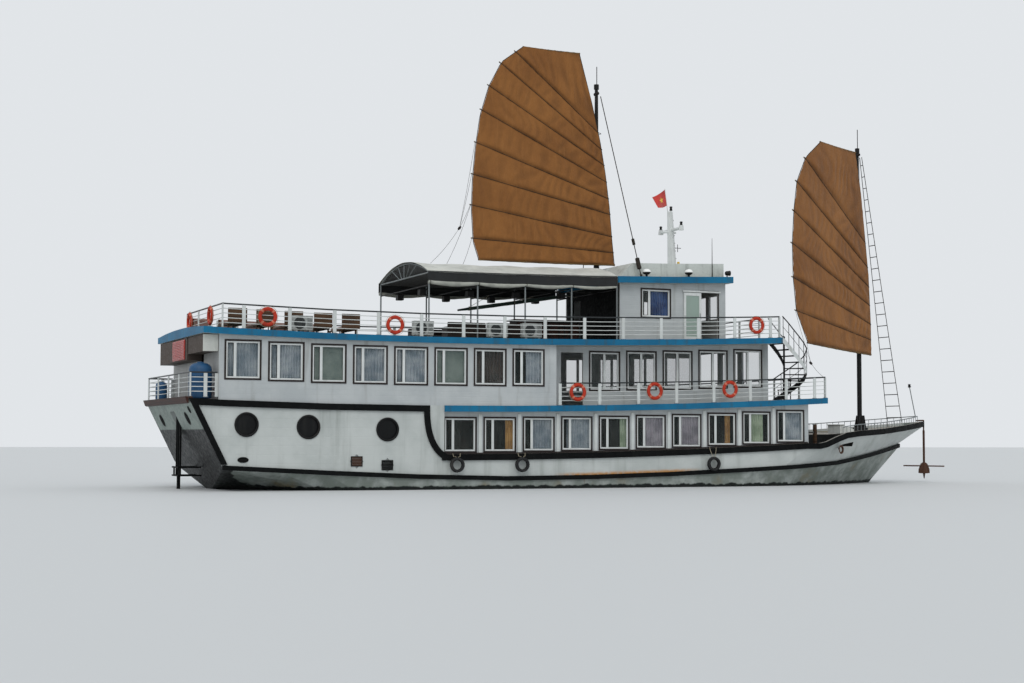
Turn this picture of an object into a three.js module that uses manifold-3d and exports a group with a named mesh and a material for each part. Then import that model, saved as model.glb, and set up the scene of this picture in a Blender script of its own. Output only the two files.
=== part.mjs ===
// Junk-style cruise ship with two lug sails: a timber and steel passenger boat with three decks.
// Everything is drawn in metres, then scaled to millimetres once at the end.
// Origin: centreline, amidships, at the waterline. +X to the bow, +Y to port, +Z up.
import * as THREE from "three";
import { mergeVertices } from "three/addons/utils/BufferGeometryUtils.js";
import Module from "manifold-3d";

const wasm = await Module();
wasm.setup();

// Driving dimensions, in metres
const GAP = 0.001;
const BAND = 0.25;
const HULL = { sternX: -18.36, bowX: 18.4, halfBeam: 4.2, rake: 0.502, rakeFromZ: 3.4, keelZ: -1.8 };
const DECK = { main: 1.41, mid: 3.37, sun: 6.12, roof: 8.92 };
const SHEER = { lowX: -9, aft: 0.002, fore: 0.00143, step: 4 };
const MID_DECK = { x0: -8.1, x1: 10.11, half: 4.3 };
const SUN_DECK = { x0: -17.95, x1: 7.72, half: 4.4 };
const HOUSE = { x0: -8.098, x1: 9.27, half: 4.0, wall: 0.09 };
const AFT_CABIN = { x0: -17.3, x1: -3.15, half: 4.2, wall: 0.09 };
const SALOON = { x0: -3.148, x1: 7.7, half: 3.2, wall: 0.09 };
const WHEELHOUSE = { x0: 0.53, x1: 5.79, half: 2.75, wall: 0.09 };
const WHEEL_ROOF = { x0: 0.28, x1: 6.0, half: 3.1, thick: 0.28 };
const CANOPY = { x0: -8.4, x1: 0.26, half: 3.08, overhang: 0.12, eave: 8.89, rise: 0.6, post: 0.035 };
const MAIN_MAST = { x: 0.75, y: 0, z0: 0, top: 17.9, r0: 0.15, r1: 0.075, whip: 18.84 };
const FORE_MAST = { x: 14.8, y: 0, top: 16.0, r0: 0.115, r1: 0.07, whip: 17.04 };
const STAIR = { x: 8.62, y: -3.1, radius: 1.05, post: 0.06, start: -133, end: 87, treads: 12 };
const RUDDER = { x: -17.9, stock: 0.075, top: 2.85, bladeTop: -0.14, bladeBottom: -1.62 };
const PROPELLER = { x: -16.85, z: -1.02, radius: 0.5, hub: 0.12 };

// Windows: first left edge, pitch, count, width, sill and head above the deck under them
const WINDOWS = {
  house: { x: -8.06, pitch: 1.741, count: 10, width: 1.434, sill: 0.06, head: 1.5 },
  cabin: { x: -17.08, pitch: 1.708, count: 8, width: 1.425, sill: 0.8, head: 2.33 },
  saloon: { x: -1.16, pitch: 1.77, count: 5, width: 1.463, sill: 0.6, head: 2.3 },
};
const TRIM = 0.05;

// Colours seen on the ship
const COLOUR = {
  white: 0xd9dcd9,
  black: 0x15181a,
  blue: 0x2f7fa6,
  brown: 0x5a3a2c,
  canvas: 0xa2703a,
  grey: 0x8c9294,
  steel: 0xb9bcba,
  orange: 0xc0492c,
  pale: 0xcfd6d2,
  rubber: 0x1b1b1c,
  drum: 0x2a5c86,
  glass: 0x40545c,
};

// Solids from geometry
const solid = (geometry) => {
  const bare = geometry.index ? geometry.toNonIndexed() : geometry.clone();
  bare.deleteAttribute("normal");
  bare.deleteAttribute("uv");
  const merged = mergeVertices(bare, 1e-6);
  const triVerts = new Uint32Array(merged.index.array);
  const mesh = { numProp: 3, vertProperties: merged.attributes.position.array, triVerts };
  return new wasm.Manifold(new wasm.Mesh(mesh));
};
const geometryOf = (body) => {
  const mesh = body.getMesh();
  const geometry = new THREE.BufferGeometry();
  geometry.setAttribute("position", new THREE.BufferAttribute(new Float32Array(mesh.vertProperties), 3));
  geometry.setIndex(new THREE.BufferAttribute(new Uint32Array(mesh.triVerts), 1));
  geometry.computeVertexNormals();
  return geometry;
};
const union = (...bodies) => bodies.flat().reduce((sum, body) => sum.add(body));

const box = (x0, x1, y0, y1, z0, z1) =>
  solid(
    new THREE.BoxGeometry(x1 - x0, y1 - y0, z1 - z0).translate((x0 + x1) / 2, (y0 + y1) / 2, (z0 + z1) / 2),
  );

const rod = (from, to, r0, sides = 6, r1 = r0) => {
  const a = new THREE.Vector3(...from);
  const b = new THREE.Vector3(...to);
  const along = b.clone().sub(a);
  const turn = new THREE.Quaternion().setFromUnitVectors(new THREE.Vector3(0, 1, 0), along.clone().normalize());
  const geometry = new THREE.CylinderGeometry(r1, r0, along.length(), sides);
  geometry.applyQuaternion(turn).translate(...a.add(b).multiplyScalar(0.5).toArray());
  return solid(geometry);
};

// A plate whose outline is drawn in X and Z, from y0 to y1
const sidePlate = (outline, y0, y1) => {
  const shape = new THREE.Shape(outline.map(([x, z]) => new THREE.Vector2(x, z)));
  const geometry = new THREE.ExtrudeGeometry(shape, { depth: y1 - y0, bevelEnabled: false });
  return solid(geometry.rotateX(Math.PI / 2).translate(0, y1, 0));
};

// Skins a row of rings that hold the same number of points. Each end is closed by strips that run
// across the ring, from its first point to its last, then from the second to the last but one.
const loft = (rings) => {
  const n = rings[0].length;
  const points = rings.flat();
  const faces = [];
  for (let i = 0; i + 1 < rings.length; i++)
    for (let j = 0; j < n; j++) {
      const a = i * n + j;
      const b = i * n + ((j + 1) % n);
      faces.push([a, b, b + n], [a, b + n, a + n]);
    }
  const closeEnd = (start, turned) => {
    const face = (...corners) => faces.push((turned ? corners.reverse() : corners).map((k) => start + k));
    for (let j = 0; j < n - 2 - j; j++) {
      face(j, n - 1 - j, j + 1);
      if (j + 1 < n - 2 - j) face(j + 1, n - 1 - j, n - 2 - j);
    }
  };
  closeEnd(0, false);
  closeEnd((rings.length - 1) * n, true);
  const volume = faces.reduce((sum, [a, b, c]) => {
    const [p, q, r] = [points[a], points[b], points[c]].map((v) => new THREE.Vector3(...v));
    return sum + p.dot(q.cross(r));
  }, 0);
  if (volume < 0) faces.forEach((face) => face.reverse());
  const geometry = new THREE.BufferGeometry();
  geometry.setAttribute("position", new THREE.Float32BufferAttribute(points.flat(), 3));
  geometry.setIndex(faces.flat());
  return solid(geometry);
};

// A bar of oblong section swept along a path in plan, mitred at its corners
const ribbon = (path, inner, outer, low, high) => {
  const rings = path.map(([x, y, z], i) => {
    const before = path[Math.max(i - 1, 0)];
    const after = path[Math.min(i + 1, path.length - 1)];
    const d0 = new THREE.Vector2(x - before[0], y - before[1]).normalize();
    const d1 = new THREE.Vector2(after[0] - x, after[1] - y).normalize();
    if (i === 0) d0.copy(d1);
    if (i === path.length - 1) d1.copy(d0);
    const n0 = new THREE.Vector2(d0.y, -d0.x);
    const mitre = n0.clone().add(new THREE.Vector2(d1.y, -d1.x)).normalize();
    const reach = 1 / Math.max(mitre.dot(n0), 0.3);
    const at = (side, height) => [x + mitre.x * side * reach, y + mitre.y * side * reach, z + height];
    return [at(inner, low), at(outer, low), at(outer, high), at(inner, high)];
  });
  return loft(rings);
};

// Sheer: every deck rises in straight stretches towards both ends
const rise = (x) => (x - SHEER.lowX) ** 2 * (x < SHEER.lowX ? SHEER.aft : SHEER.fore);
const sheer = (x) => {
  const cell = Math.floor((x - SHEER.lowX) / SHEER.step);
  const a = SHEER.lowX + cell * SHEER.step;
  const t = (x - a) / SHEER.step;
  return rise(a) * (1 - t) + rise(a + SHEER.step) * t;
};
const deckAt = (name) => (x) => DECK[name] + sheer(x);
const knots = (x0, x1) => {
  const inside = [];
  for (let x = Math.ceil((x0 - SHEER.lowX) / SHEER.step) * SHEER.step + SHEER.lowX; x < x1; x += SHEER.step)
    if (x > x0 + 0.01 && x < x1 - 0.01) inside.push(x);
  return [x0, ...inside, x1];
};
const main = deckAt("main");
const mid = deckAt("mid");
const sun = deckAt("sun");
const roof = deckAt("roof");

// A slab or wall between two heights that follow the sheer
const sheeredBlock = (x0, x1, y0, y1, low, high) =>
  loft(knots(x0, x1).map((x) => [[x, y0, low(x)], [x, y1, low(x)], [x, y1, high(x)], [x, y0, high(x)]]));

const lerpTable = (table, x) => {
  const next = table.findIndex(([at]) => at > x);
  const i = next < 0 ? table.length - 1 : Math.max(next, 1);
  const [x0, v0] = table[i - 1];
  const [x1, v1] = table[i];
  return v0 + (v1 - v0) * THREE.MathUtils.clamp((x - x0) / (x1 - x0), 0, 1);
};
const transomX = (z) => HULL.sternX + (HULL.rakeFromZ - z) * HULL.rake;
const ease = THREE.MathUtils.smoothstep;

// Hull lines, keel to deck edge. Each has its height at the stern, amidships and at the stem, the stem's x,
// its half breadth at the stern and amidships, where the bow taper starts, and how full that taper is.
const SHEER_TABLE = [[9, main(9)], [9.8, 1.88], [10.2, 1.95], [10.9, 2.19], [11.5, 2.36], [12.4, 2.45], [14.2, 2.55], [16.1, 2.71], [18.4, 2.93]];
const WALE_TABLE = [[-17.2, 1.01], [-13, 0.79], [-8.7, 0.6], [-5.8, 0.52], [-2, 0.54], [3.1, 0.68], [8.7, 0.94], [11.2, 1.09], [13.8, 1.42], [17, 1.86]];
const sheerZ = (x) => (x < SHEER_TABLE[0][0] ? main(x) : lerpTable(SHEER_TABLE, x));
const waleZ = (x) => lerpTable(WALE_TABLE, x);
const profile = (aft, middle, bow, aftLength, bowFrom, bowTo) => (x) =>
  x < 0
    ? aft + (middle - aft) * ease(x, -17.2, -17.2 + aftLength)
    : middle + (bow - middle) * THREE.MathUtils.clamp((x - bowFrom) / (bowTo - bowFrom), 0, 1) ** 2.2;
const WALE_HEIGHT = 0.18;
const LINES = [
  { name: "keel", z: profile(-0.05, HULL.keelZ, -0.95, 7, 7, 14.2), bowX: 14.2, aft: 0.1, half: 0.1, full: 14, power: 2 },
  { name: "bilge", z: profile(0.36, -1.5, -0.35, 7.5, 6, 14.9), bowX: 14.9, aft: 2.0, half: 3.2, full: 1.5, power: 1.7 },
  { name: "turn", z: profile(0.68, -0.5, 0.2, 7.5, 6, 15.4), bowX: 15.4, aft: 3.35, half: 4.12, full: 4, power: 1.75 },
  { name: "wale low", z: (x) => waleZ(x) - WALE_HEIGHT, bowX: 16.95, aft: 4.2, half: 4.2, full: 7, power: 1.8 },
  { name: "wale top", z: waleZ, bowX: 16.95, aft: 4.2, half: 4.2, full: 7, power: 1.8 },
  { name: "strake low", z: (x) => sheerZ(x) - BAND, bowX: 18.4, aft: 4.2, half: 4.2, full: 8.5, power: 1.8 },
  { name: "strake top", z: sheerZ, bowX: 18.4, aft: 4.2, half: 4.2, full: 8.5, power: 1.8 },
];
const STEM_HALF = 0.09;
// Stations along the deck edge, on the sheer's own knots amidships and closer together at the bow
const BOW_STATIONS = [9, 9.8, 10.2, 10.9, 11.5, 12.4, 13.3, 14.2, 15.2, 16.1, 17, 17.8, 18.4];
const STATION_X = [transomX(1.56), -17, -15, -13, -11, ...knots(-9, 9).slice(0, -1), ...BOW_STATIONS];
const STATIONS = STATION_X.map((x) => (x - STATION_X[0]) / (STATION_X.at(-1) - STATION_X[0]));
const linePoint = (line, u) => {
  const aftX = transomX(line.z(-17.2));
  const x = aftX + (line.bowX - aftX) * u;
  const taper = THREE.MathUtils.clamp((x - line.full) / (line.bowX - line.full), 0, 1) ** line.power;
  const body = line.aft + (line.half - line.aft) * ease(x, aftX, aftX + 8);
  return [x, (body - STEM_HALF) * (1 - taper) + STEM_HALF, line.z(x)];
};
const lineNamed = (name) => LINES.find((line) => line.name === name);
const sheerHalf = (x) => {
  const line = lineNamed("strake top");
  const taper = THREE.MathUtils.clamp((x - line.full) / (line.bowX - line.full), 0, 1) ** line.power;
  return (line.half - STEM_HALF) * (1 - taper) + STEM_HALF;
};

const WELL = { x0: 9.4, step: 12.05, tip: 17.7, deck: 1.74, bulwark: 0.12, foreDeckDrop: 0.13 };
const PORTHOLES = [[-16.2, 2.56], [-13.75, 2.48], [-10.51, 2.4]];
const PORTHOLE_R = 0.44;
const VENTS = [[-11.78, 1.14], [-10.51, 0.99]];
const HAWSE = [11.0, 1.6];
// The hull is built in three lengths that meet at butts, so each one carries its own decks
const BUTTS = { fore: 0.4, bow: WELL.x0 };

function wholeHull() {
  const rings = STATIONS.map((u) => {
    const side = LINES.map((line) => linePoint(line, u));
    return [...side, ...side.map(([x, y, z]) => [x, -y, z]).reverse()];
  });
  let body = loft(rings);
  const top = knots(MID_DECK.x0 - 9.9, MID_DECK.x0 - GAP).map((x) => [x, mid(x)]);
  const stern = [[transomX(1.25), 1.25], [transomX(mid(-18.4)), mid(-18.4)]];
  body = body.add(sidePlate([...stern, ...top, [MID_DECK.x0 - GAP, 1.2]], -HULL.halfBeam, HULL.halfBeam));
  // Skeg with the propeller shaft's boss
  const skeg = [[-16.4, -0.2], [-16.3, -1.3], [-15.5, -1.78], [-9, -1.78], [-9, -1.2]];
  body = body.add(sidePlate(skeg, -0.1, 0.1));
  body = body.add(rod([-16.62, 0, PROPELLER.z], [-14.5, 0, PROPELLER.z], 0.14, 12));
  // Well deck and fore deck inside the bulwark
  const hollow = (x0, x1, floor) =>
    loft(
      [0, 0.25, 0.5, 0.75, 1].map((t) => {
        const x = x0 + (x1 - x0) * t;
        const y = sheerHalf(x) - WELL.bulwark;
        return [[x, y, floor(x)], [x, -y, floor(x)], [x, -y, 4], [x, y, 4]];
      }),
    );
  body = body.subtract(hollow(WELL.x0, WELL.step, () => WELL.deck));
  body = body.subtract(hollow(WELL.step - 0.01, WELL.tip, (x) => sheerZ(x) - WELL.foreDeckDrop));
  // Rudder trunk, portholes, vents and hawse
  const slot = [[transomX(2.2) - 0.3, 2.2], [transomX(3.1) - 0.3, 3.1], [-17.7, 3.1], [-17.7, 2.2]];
  body = body.subtract(sidePlate(slot, -0.42, 0.42));
  for (const side of [-1, 1]) {
    const face = side * HULL.halfBeam;
    const recess = (x, z, r, sides, depth) =>
      rod([x, face - side * depth, z], [x, face + side * 0.2, z], r, sides);
    for (const [x, z] of PORTHOLES) body = body.subtract(recess(x, z, PORTHOLE_R, 24, 0.08));
    for (const [x, z] of VENTS) body = body.subtract(recess(x, z, 0.28, 4, 0.05));
    const [hx, hz] = HAWSE;
    body = body.subtract(rod([hx, side * (sheerHalf(hx) - 0.22), hz], [hx + 0.3, side * 4.6, hz], 0.13, 12));
  }
  return body;
}
const WHOLE_HULL = wholeHull();
const hullLength = (x0, x1) => WHOLE_HULL.intersect(box(x0 + GAP / 2, x1 - GAP / 2, -6, 6, -4, 6));

// The belt that runs from the stern at middle deck height, curls down in an S and follows the deck edge
function sheerStrake() {
  const path = STATIONS.map((u) => linePoint(lineNamed("strake top"), u)).filter(([x]) => x > -8);
  const starboard = [[-8.2, -HULL.halfBeam, sheerZ(-8.2)], ...path.map(([x, y, z]) => [x, -y, z])];
  const loop = [...starboard, ...starboard.map(([x, y, z]) => [x, -y, z]).reverse()];
  let body = ribbon(loop, 0.003, 0.08, -BAND, 0);
  const sCurve = new THREE.QuadraticBezierCurve(
    new THREE.Vector2(-8.86, 3.2),
    new THREE.Vector2(-8.86, 1.72),
    new THREE.Vector2(-8.02, sheerZ(-8.02) - BAND / 2),
  );
  const curve = sCurve.getPoints(10);
  const offset = (side) =>
    curve.map((p, i) => {
      const t = sCurve.getTangent(i / 10);
      return [p.x - t.y * side * 0.12, p.y + t.x * side * 0.12];
    });
  const sPlate = [...offset(1), ...offset(-1).reverse()];
  const belt = knots(-18.3, -8.74);
  const upper = [...belt.map((x) => [x, mid(x) - GAP]), ...belt.map((x) => [x, mid(x) - BAND]).reverse()];
  upper.push([transomX(mid(-18.3)) - 0.01, mid(-18.3) - GAP]);
  const quarter = [
    [transomX(3.4), 3.4],
    [transomX(3.4) + 0.24, 3.4],
    [transomX(1.03) + 0.24, 1.03],
    [transomX(1.03), 1.03],
  ];
  for (const side of [-1, 1]) {
    const [y0, y1] = side < 0 ? [-4.28, -4.203] : [4.203, 4.28];
    body = union(body, sidePlate(upper, y0, y1), sidePlate(sPlate, y0, y1), sidePlate(quarter, y0, y1));
  }
  return body;
}

function lowerWale() {
  const path = STATIONS.map((u) => linePoint(lineNamed("wale top"), u));
  const starboard = path.map(([x, y, z]) => [x, -y, z]);
  starboard[0][0] += 0.03;
  return ribbon([...starboard, ...starboard.map(([x, y, z]) => [x, -y, z]).reverse()], 0.012, 0.08, -WALE_HEIGHT, 0);
}

function sternCapRail() {
  const z = mid(-18.4);
  const out = transomX(z);
  const outline = [[out - GAP - 0.14, z + 0.06], [out - GAP - 0.06, z - 0.16], [out + 0.07 - GAP - 0.06, z - 0.2]];
  outline.push([out - 0.004, z - 0.02], [out - 0.004, z + 0.003], [out + 0.16, z + 0.003], [out + 0.16, z + 0.06]);
  return sidePlate(outline, -4.195, 4.195);
}

function rudder() {
  const blade = [
    [-18.42, RUDDER.bladeTop - 0.1],
    [-17.5, RUDDER.bladeTop],
    [-17.5, RUDDER.bladeBottom + 0.25],
    [-17.62, RUDDER.bladeBottom],
    [-18.42, RUDDER.bladeBottom + 0.05],
  ];
  const stock = rod([RUDDER.x, 0, RUDDER.bladeBottom + 0.1], [RUDDER.x, 0, RUDDER.top], RUDDER.stock, 12);
  return stock.add(sidePlate(blade, -0.035, 0.035));
}

function propeller() {
  const { x, z, radius, hub } = PROPELLER;
  let body = rod([x - 0.2, 0, z], [x + 0.2, 0, z], hub * 0.7, 12, hub);
  for (let i = 0; i < 4; i++) {
    const blade = new THREE.CylinderGeometry(0.19, 0.13, 0.035, 10).scale(1, 1, 1.15);
    blade.translate(0, 0, radius - 0.24).rotateZ(Math.PI / 2);
    const spin = new THREE.Matrix4().makeRotationX((i * Math.PI) / 2);
    const pitch = new THREE.Matrix4().makeRotationZ(0.5);
    blade.applyMatrix4(new THREE.Matrix4().makeRotationY(0)).applyMatrix4(pitch).applyMatrix4(spin).translate(x, 0, z);
    body = body.add(solid(blade));
  }
  return body;
}

function sternPlatform() {
  const [low, high] = [0.54, 0.87];
  const front = transomX(high + 0.03) - 0.01;
  const bars = [];
  for (const y of [-0.55, 0.55]) {
    bars.push(box(-18.0, front, y - 0.03, y + 0.03, high - 0.03, high + 0.03));
    bars.push(box(-18.0, -17.94, y - 0.03, y + 0.03, low - 0.02, high + 0.03));
    bars.push(box(-18.0, -17.1, y - 0.03, y + 0.03, low - 0.03, low + 0.03));
  }
  for (const z of [low, high]) bars.push(box(-18.06, -18.0, -0.58, 0.58, z - 0.03, z + 0.03));
  // Two uprights carry the platform from the rudder trunk
  for (const y of [-0.35, 0.35]) {
    bars.push(box(-17.95, -17.88, y - 0.035, y + 0.035, low - 0.03, 3.1 - GAP));
    for (const z of [low, high]) bars.push(box(-18.01, -17.9, y - 0.03, y + 0.03, z - 0.03, z + 0.03));
  }
  return union(bars);
}

// Decks
const deckSlab = ({ x0, x1, half }, top) => sheeredBlock(x0, x1, -half, half, (x) => top(x) - BAND, top);

function sunDeck() {
  const slab = deckSlab(SUN_DECK, sun);
  // The after edge is cambered: higher on the centreline
  const camber = 0.13;
  const edge = [-1, -0.6, -0.2, 0.2, 0.6, 1].map((t) => {
    const y = t * SUN_DECK.half;
    const z = sun(SUN_DECK.x0) + camber * (1 - t * t);
    const low = sun(SUN_DECK.x0) - BAND;
    return [[SUN_DECK.x0, y, low], [SUN_DECK.x0 + 0.35, y, low], [SUN_DECK.x0 + 0.35, y, z], [SUN_DECK.x0, y, z]];
  });
  return slab.add(loft(edge));
}

// Walls with their window and door holes
const windowHoles = (row, level, y, depth = 0.6) => {
  const holes = [];
  for (let i = 0; i < row.count; i++) {
    const x = row.x + i * row.pitch + TRIM;
    const z = level(x + row.width / 2);
    holes.push(box(x, x + row.width - 2 * TRIM, y - depth, y + depth, z + row.sill + TRIM, z + row.head - TRIM));
  }
  return holes;
};
const cut = (body, holes) => holes.reduce((rest, hole) => rest.subtract(hole), body);
const under = (deck, thick = BAND) => (x) => deck(x) - thick - GAP;
const over = (deck) => (x) => deck(x) + GAP;

const sideWall = ({ x0, x1, half, wall }, side, low, high, holes) => {
  const [y0, y1] = side < 0 ? [-half, -half + wall] : [half - wall, half];
  return cut(sheeredBlock(x0, x1, y0, y1, low, high), holes);
};
const endWall = ({ half, wall }, x, low, high, holes) => {
  const inner = half - wall - GAP;
  const z0 = Math.max(low(x), low(x + wall));
  const z1 = Math.min(high(x), high(x + wall));
  return cut(box(x, x + wall, -inner, inner, z0, z1), holes);
};
const doorHole = (x0, x1, y0, y1, z, height = 2.05) => box(x0, x1, y0, y1, z - 0.2, z + height);

const HOUSE_DOOR = { y0: -0.45, y1: 0.45, height: 1.62 };
const SALOON_DOOR = { x0: -2.48, x1: -1.45, height: 2.25 };
const WHEEL_DOOR = { leaf0: 3.66, x0: 4.56, x1: 5.4, height: 2.12, leafWidth: 0.86 };

const houseWall = (side) =>
  sideWall(HOUSE, side, over(main), under(mid), windowHoles(WINDOWS.house, main, side * HOUSE.half));
const houseFront = () =>
  endWall(HOUSE, HOUSE.x1 - HOUSE.wall, over(main), under(mid), [
    doorHole(HOUSE.x1 - 0.3, HOUSE.x1 + 0.3, HOUSE_DOOR.y0, HOUSE_DOOR.y1, main(HOUSE.x1), HOUSE_DOOR.height),
    ...[-3.1, 1.5].map((y) => box(HOUSE.x1 - 0.3, HOUSE.x1 + 0.3, y, y + 1.6, main(9) + 0.3, main(9) + 1.45)),
  ]);
const cabinWall = (side) =>
  sideWall(AFT_CABIN, side, over(mid), under(sun), windowHoles(WINDOWS.cabin, mid, side * AFT_CABIN.half));
const cabinEnd = (x, half) =>
  endWall(AFT_CABIN, x, over(mid), under(sun), [doorHole(x - 0.3, x + 0.3, half, half + 0.8, mid(x))]);
const saloonWall = (side) =>
  sideWall(SALOON, side, over(mid), under(sun), [
    ...windowHoles(WINDOWS.saloon, mid, side * SALOON.half),
    doorHole(SALOON_DOOR.x0, SALOON_DOOR.x1, side * 3.2 - 0.3, side * 3.2 + 0.3, mid(-2), SALOON_DOOR.height),
  ]);
const saloonFront = () => {
  const x = SALOON.x1 - SALOON.wall;
  return endWall(SALOON, x, over(mid), under(sun), [
    doorHole(x - 0.3, x + 0.3, -0.7, 0.7, mid(x), 2.2),
    ...[-2.8, 1.1].map((y) => box(x - 0.3, x + 0.3, y, y + 1.7, mid(x) + 0.6, mid(x) + 2.3)),
  ]);
};
const wheelWall = (side) => {
  const y = side * WHEELHOUSE.half;
  return sideWall(WHEELHOUSE, side, over(sun), under(roof, WHEEL_ROOF.thick), [
    box(1.6, 2.98, y - 0.3, y + 0.3, 7.36, 8.56),
    doorHole(WHEEL_DOOR.x0, WHEEL_DOOR.x1, y - 0.3, y + 0.3, sun(5), WHEEL_DOOR.height + 0.02),
  ]);
};
const wheelFront = () => {
  const x = WHEELHOUSE.x1 - WHEELHOUSE.wall;
  const holes = [-2.45, -1.15, 0.15, 1.35].map((y) => box(x - 0.3, x + 0.3, y, y + 1.05, sun(x) + 0.95, sun(x) + 2.05));
  return endWall(WHEELHOUSE, x, over(sun), under(roof, WHEEL_ROOF.thick), holes);
};
const wheelAft = () => {
  const x = WHEELHOUSE.x0;
  return endWall(WHEELHOUSE, x, over(sun), under(roof, WHEEL_ROOF.thick), [
    doorHole(x - 0.3, x + 0.3, 1.2, 2.1, sun(x)),
    rod([MAIN_MAST.x, 0, 5], [MAIN_MAST.x, 0, 10], 0.2, 16),
  ]);
};
function wheelDoor(side) {
  const y = side * (WHEELHOUSE.half + 0.045);
  const z = sun(WHEEL_DOOR.x1) + 0.012;
  const { leaf0, leafWidth, height } = WHEEL_DOOR;
  const leaf = box(leaf0, leaf0 + leafWidth, y - 0.03, y + 0.03, z, z + height - 0.07);
  const pane = box(leaf0 + 0.1, leaf0 - 0.1 + leafWidth, y - 0.1, y + 0.1, z + 0.12, z + height - 0.2);
  return leaf.subtract(pane);
}
function houseDoor() {
  const x = HOUSE.x1 - 0.06;
  const z = main(HOUSE.x1) + 0.02;
  return box(x, x + 0.04, HOUSE_DOOR.y0 + 0.015, HOUSE_DOOR.y1 - 0.015, z, z + HOUSE_DOOR.height - 0.06);
}

const mastHole = () => rod([MAIN_MAST.x, 0, 8], [MAIN_MAST.x, 0, 11], 0.19, 16);
const wheelRoof = () =>
  sheeredBlock(WHEEL_ROOF.x0, WHEEL_ROOF.x1, -3.1, 3.1, (x) => roof(x) - WHEEL_ROOF.thick, roof).subtract(mastHole());
function roofBox() {
  const top = (x) => 9.55 + sheer(x);
  const outline = [[0.62, roof(0.62) + 0.012], [1.25, top(1.25)], ...knots(1.3, 5.82).map((x) => [x, top(x)])];
  outline.push(...knots(0.7, 5.82).map((x) => [x, roof(x) + 0.004]).reverse());
  return sidePlate(outline, -2.55, 2.55).subtract(mastHole());
}

function signalMast() {
  const x = 4.6;
  const z0 = 9.55 + sheer(x) + 0.02;
  const parts = [rod([x, 0, z0], [x - 0.1, 0, 12.46], 0.205, 12, 0.125)];
  parts.push(rod([x - 0.05, -1.0, 11.6], [x - 0.05, 1.0, 11.6], 0.075, 8));
  parts.push(rod([x + 0.2, 0, 11.5], [x - 0.5, 0, 11.5], 0.05, 8));
  for (const y of [-0.97, 0.97]) parts.push(rod([x - 0.05, y, 11.5], [x - 0.05, y, 11.72], 0.12, 10, 0.1));
  for (const y of [-0.97, 0.97]) parts.push(rod([x - 0.05, y, 11.7], [x - 0.05, y, 11.85], 0.05, 8));
  parts.push(rod([x - 0.05, 0, 12.4], [x - 0.04, 0, 12.68], 0.045, 8), rod([x - 0.2, 0, 12.3], [x - 0.36, 0, 13.5], 0.018, 5));
  return union(parts);
}

// Canopy over the sun deck
const eave = (x) => CANOPY.eave + sheer(x);
const arch = (y) => CANOPY.rise * (1 - (y / CANOPY.half) ** 2);
const POSTS = [0, 1, 2, 3, 4].map((i) => -8.38 + i * 2.15);
function canopyFrame() {
  const parts = [];
  const r = CANOPY.post;
  for (const side of [-1, 1]) {
    const y = side * CANOPY.half;
    parts.push(ribbon(knots(CANOPY.x0, CANOPY.x1 - 0.02).map((x) => [x, y, eave(x)]), -0.03, 0.03, -0.09, -0.02));
    for (const x of POSTS) parts.push(rod([x, y, sun(x) + 0.004], [x, y, eave(x) - 0.05], r, 4));
  }
  for (const x of POSTS) {
    const z = eave(x);
    parts.push(rod([x, -CANOPY.half, z - 0.55], [x, CANOPY.half, z - 0.55], 0.025, 4));
    const steps = [-1, -0.7, -0.35, 0, 0.35, 0.7, 1].map((t) => t * CANOPY.half);
    for (let i = 0; i < steps.length - 1 && (x === POSTS[0] || x === POSTS[4]); i++) {
      const [a, b] = [steps[i], steps[i + 1]];
      parts.push(rod([x, a, z + arch(a) - 0.045], [x, b, z + arch(b) - 0.045], 0.025, 4));
    }
  }
  const x = POSTS[0];
  const z = eave(x);
  parts.push(rod([x, -CANOPY.half, z - 0.05], [x, CANOPY.half, z - 0.05], 0.03, 5));
  for (const y of [-1.54, -0.77, 0, 0.77, 1.54])
    parts.push(rod([x, y * 0.35, z - 0.05], [x, y, z + arch(y) - 0.04], 0.02, 4));
  return union(parts);
}
function canopyRoof() {
  const steps = [-1.04, -0.75, -0.5, -0.25, 0, 0.25, 0.5, 0.75, 1.04].map((t) => t * CANOPY.half);
  return loft(
    knots(CANOPY.x0 - 0.03, CANOPY.x1 - 0.01).map((x) => {
      const line = steps.map((y) => [x, y, eave(x) + arch(y)]);
      return [...line.map(([a, b, c]) => [a, b, c + 0.035]), ...line.map(([a, b, c]) => [a, b, c + 0.005]).reverse()];
    }),
  );
}

// Masts and sails
function mast({ x, y, top, r0, r1, whip }, foot) {
  return union(
    rod([x, y, foot], [x, y, top], r0, 16, r1),
    rod([x, y, top - 0.1], [x, y, top + 0.12], r1 + 0.04, 10),
    rod([x + 0.02, y, top], [x + 0.02, y, whip], 0.018, 6),
  );
}

// A sail's outline and its spars: distance aft of the mast, and height above the sail's foot
const MAIN_LUFF = [[-0.75, 0], [-0.62, 1.2], [-0.5, 2.6], [-0.3, 4.1], [-0.05, 5.5], [0.37, 7.25], [1.01, 9.52]];
const MAIN_LEECH = [[3.67, 9.55], [4.74, 8.75], [5.35, 7.6], [5.75, 6.3], [5.97, 4.85], [6.1, 3.45], [6.14, 2.1], [6.05, 0.75], [5.76, -0.12]];
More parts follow.
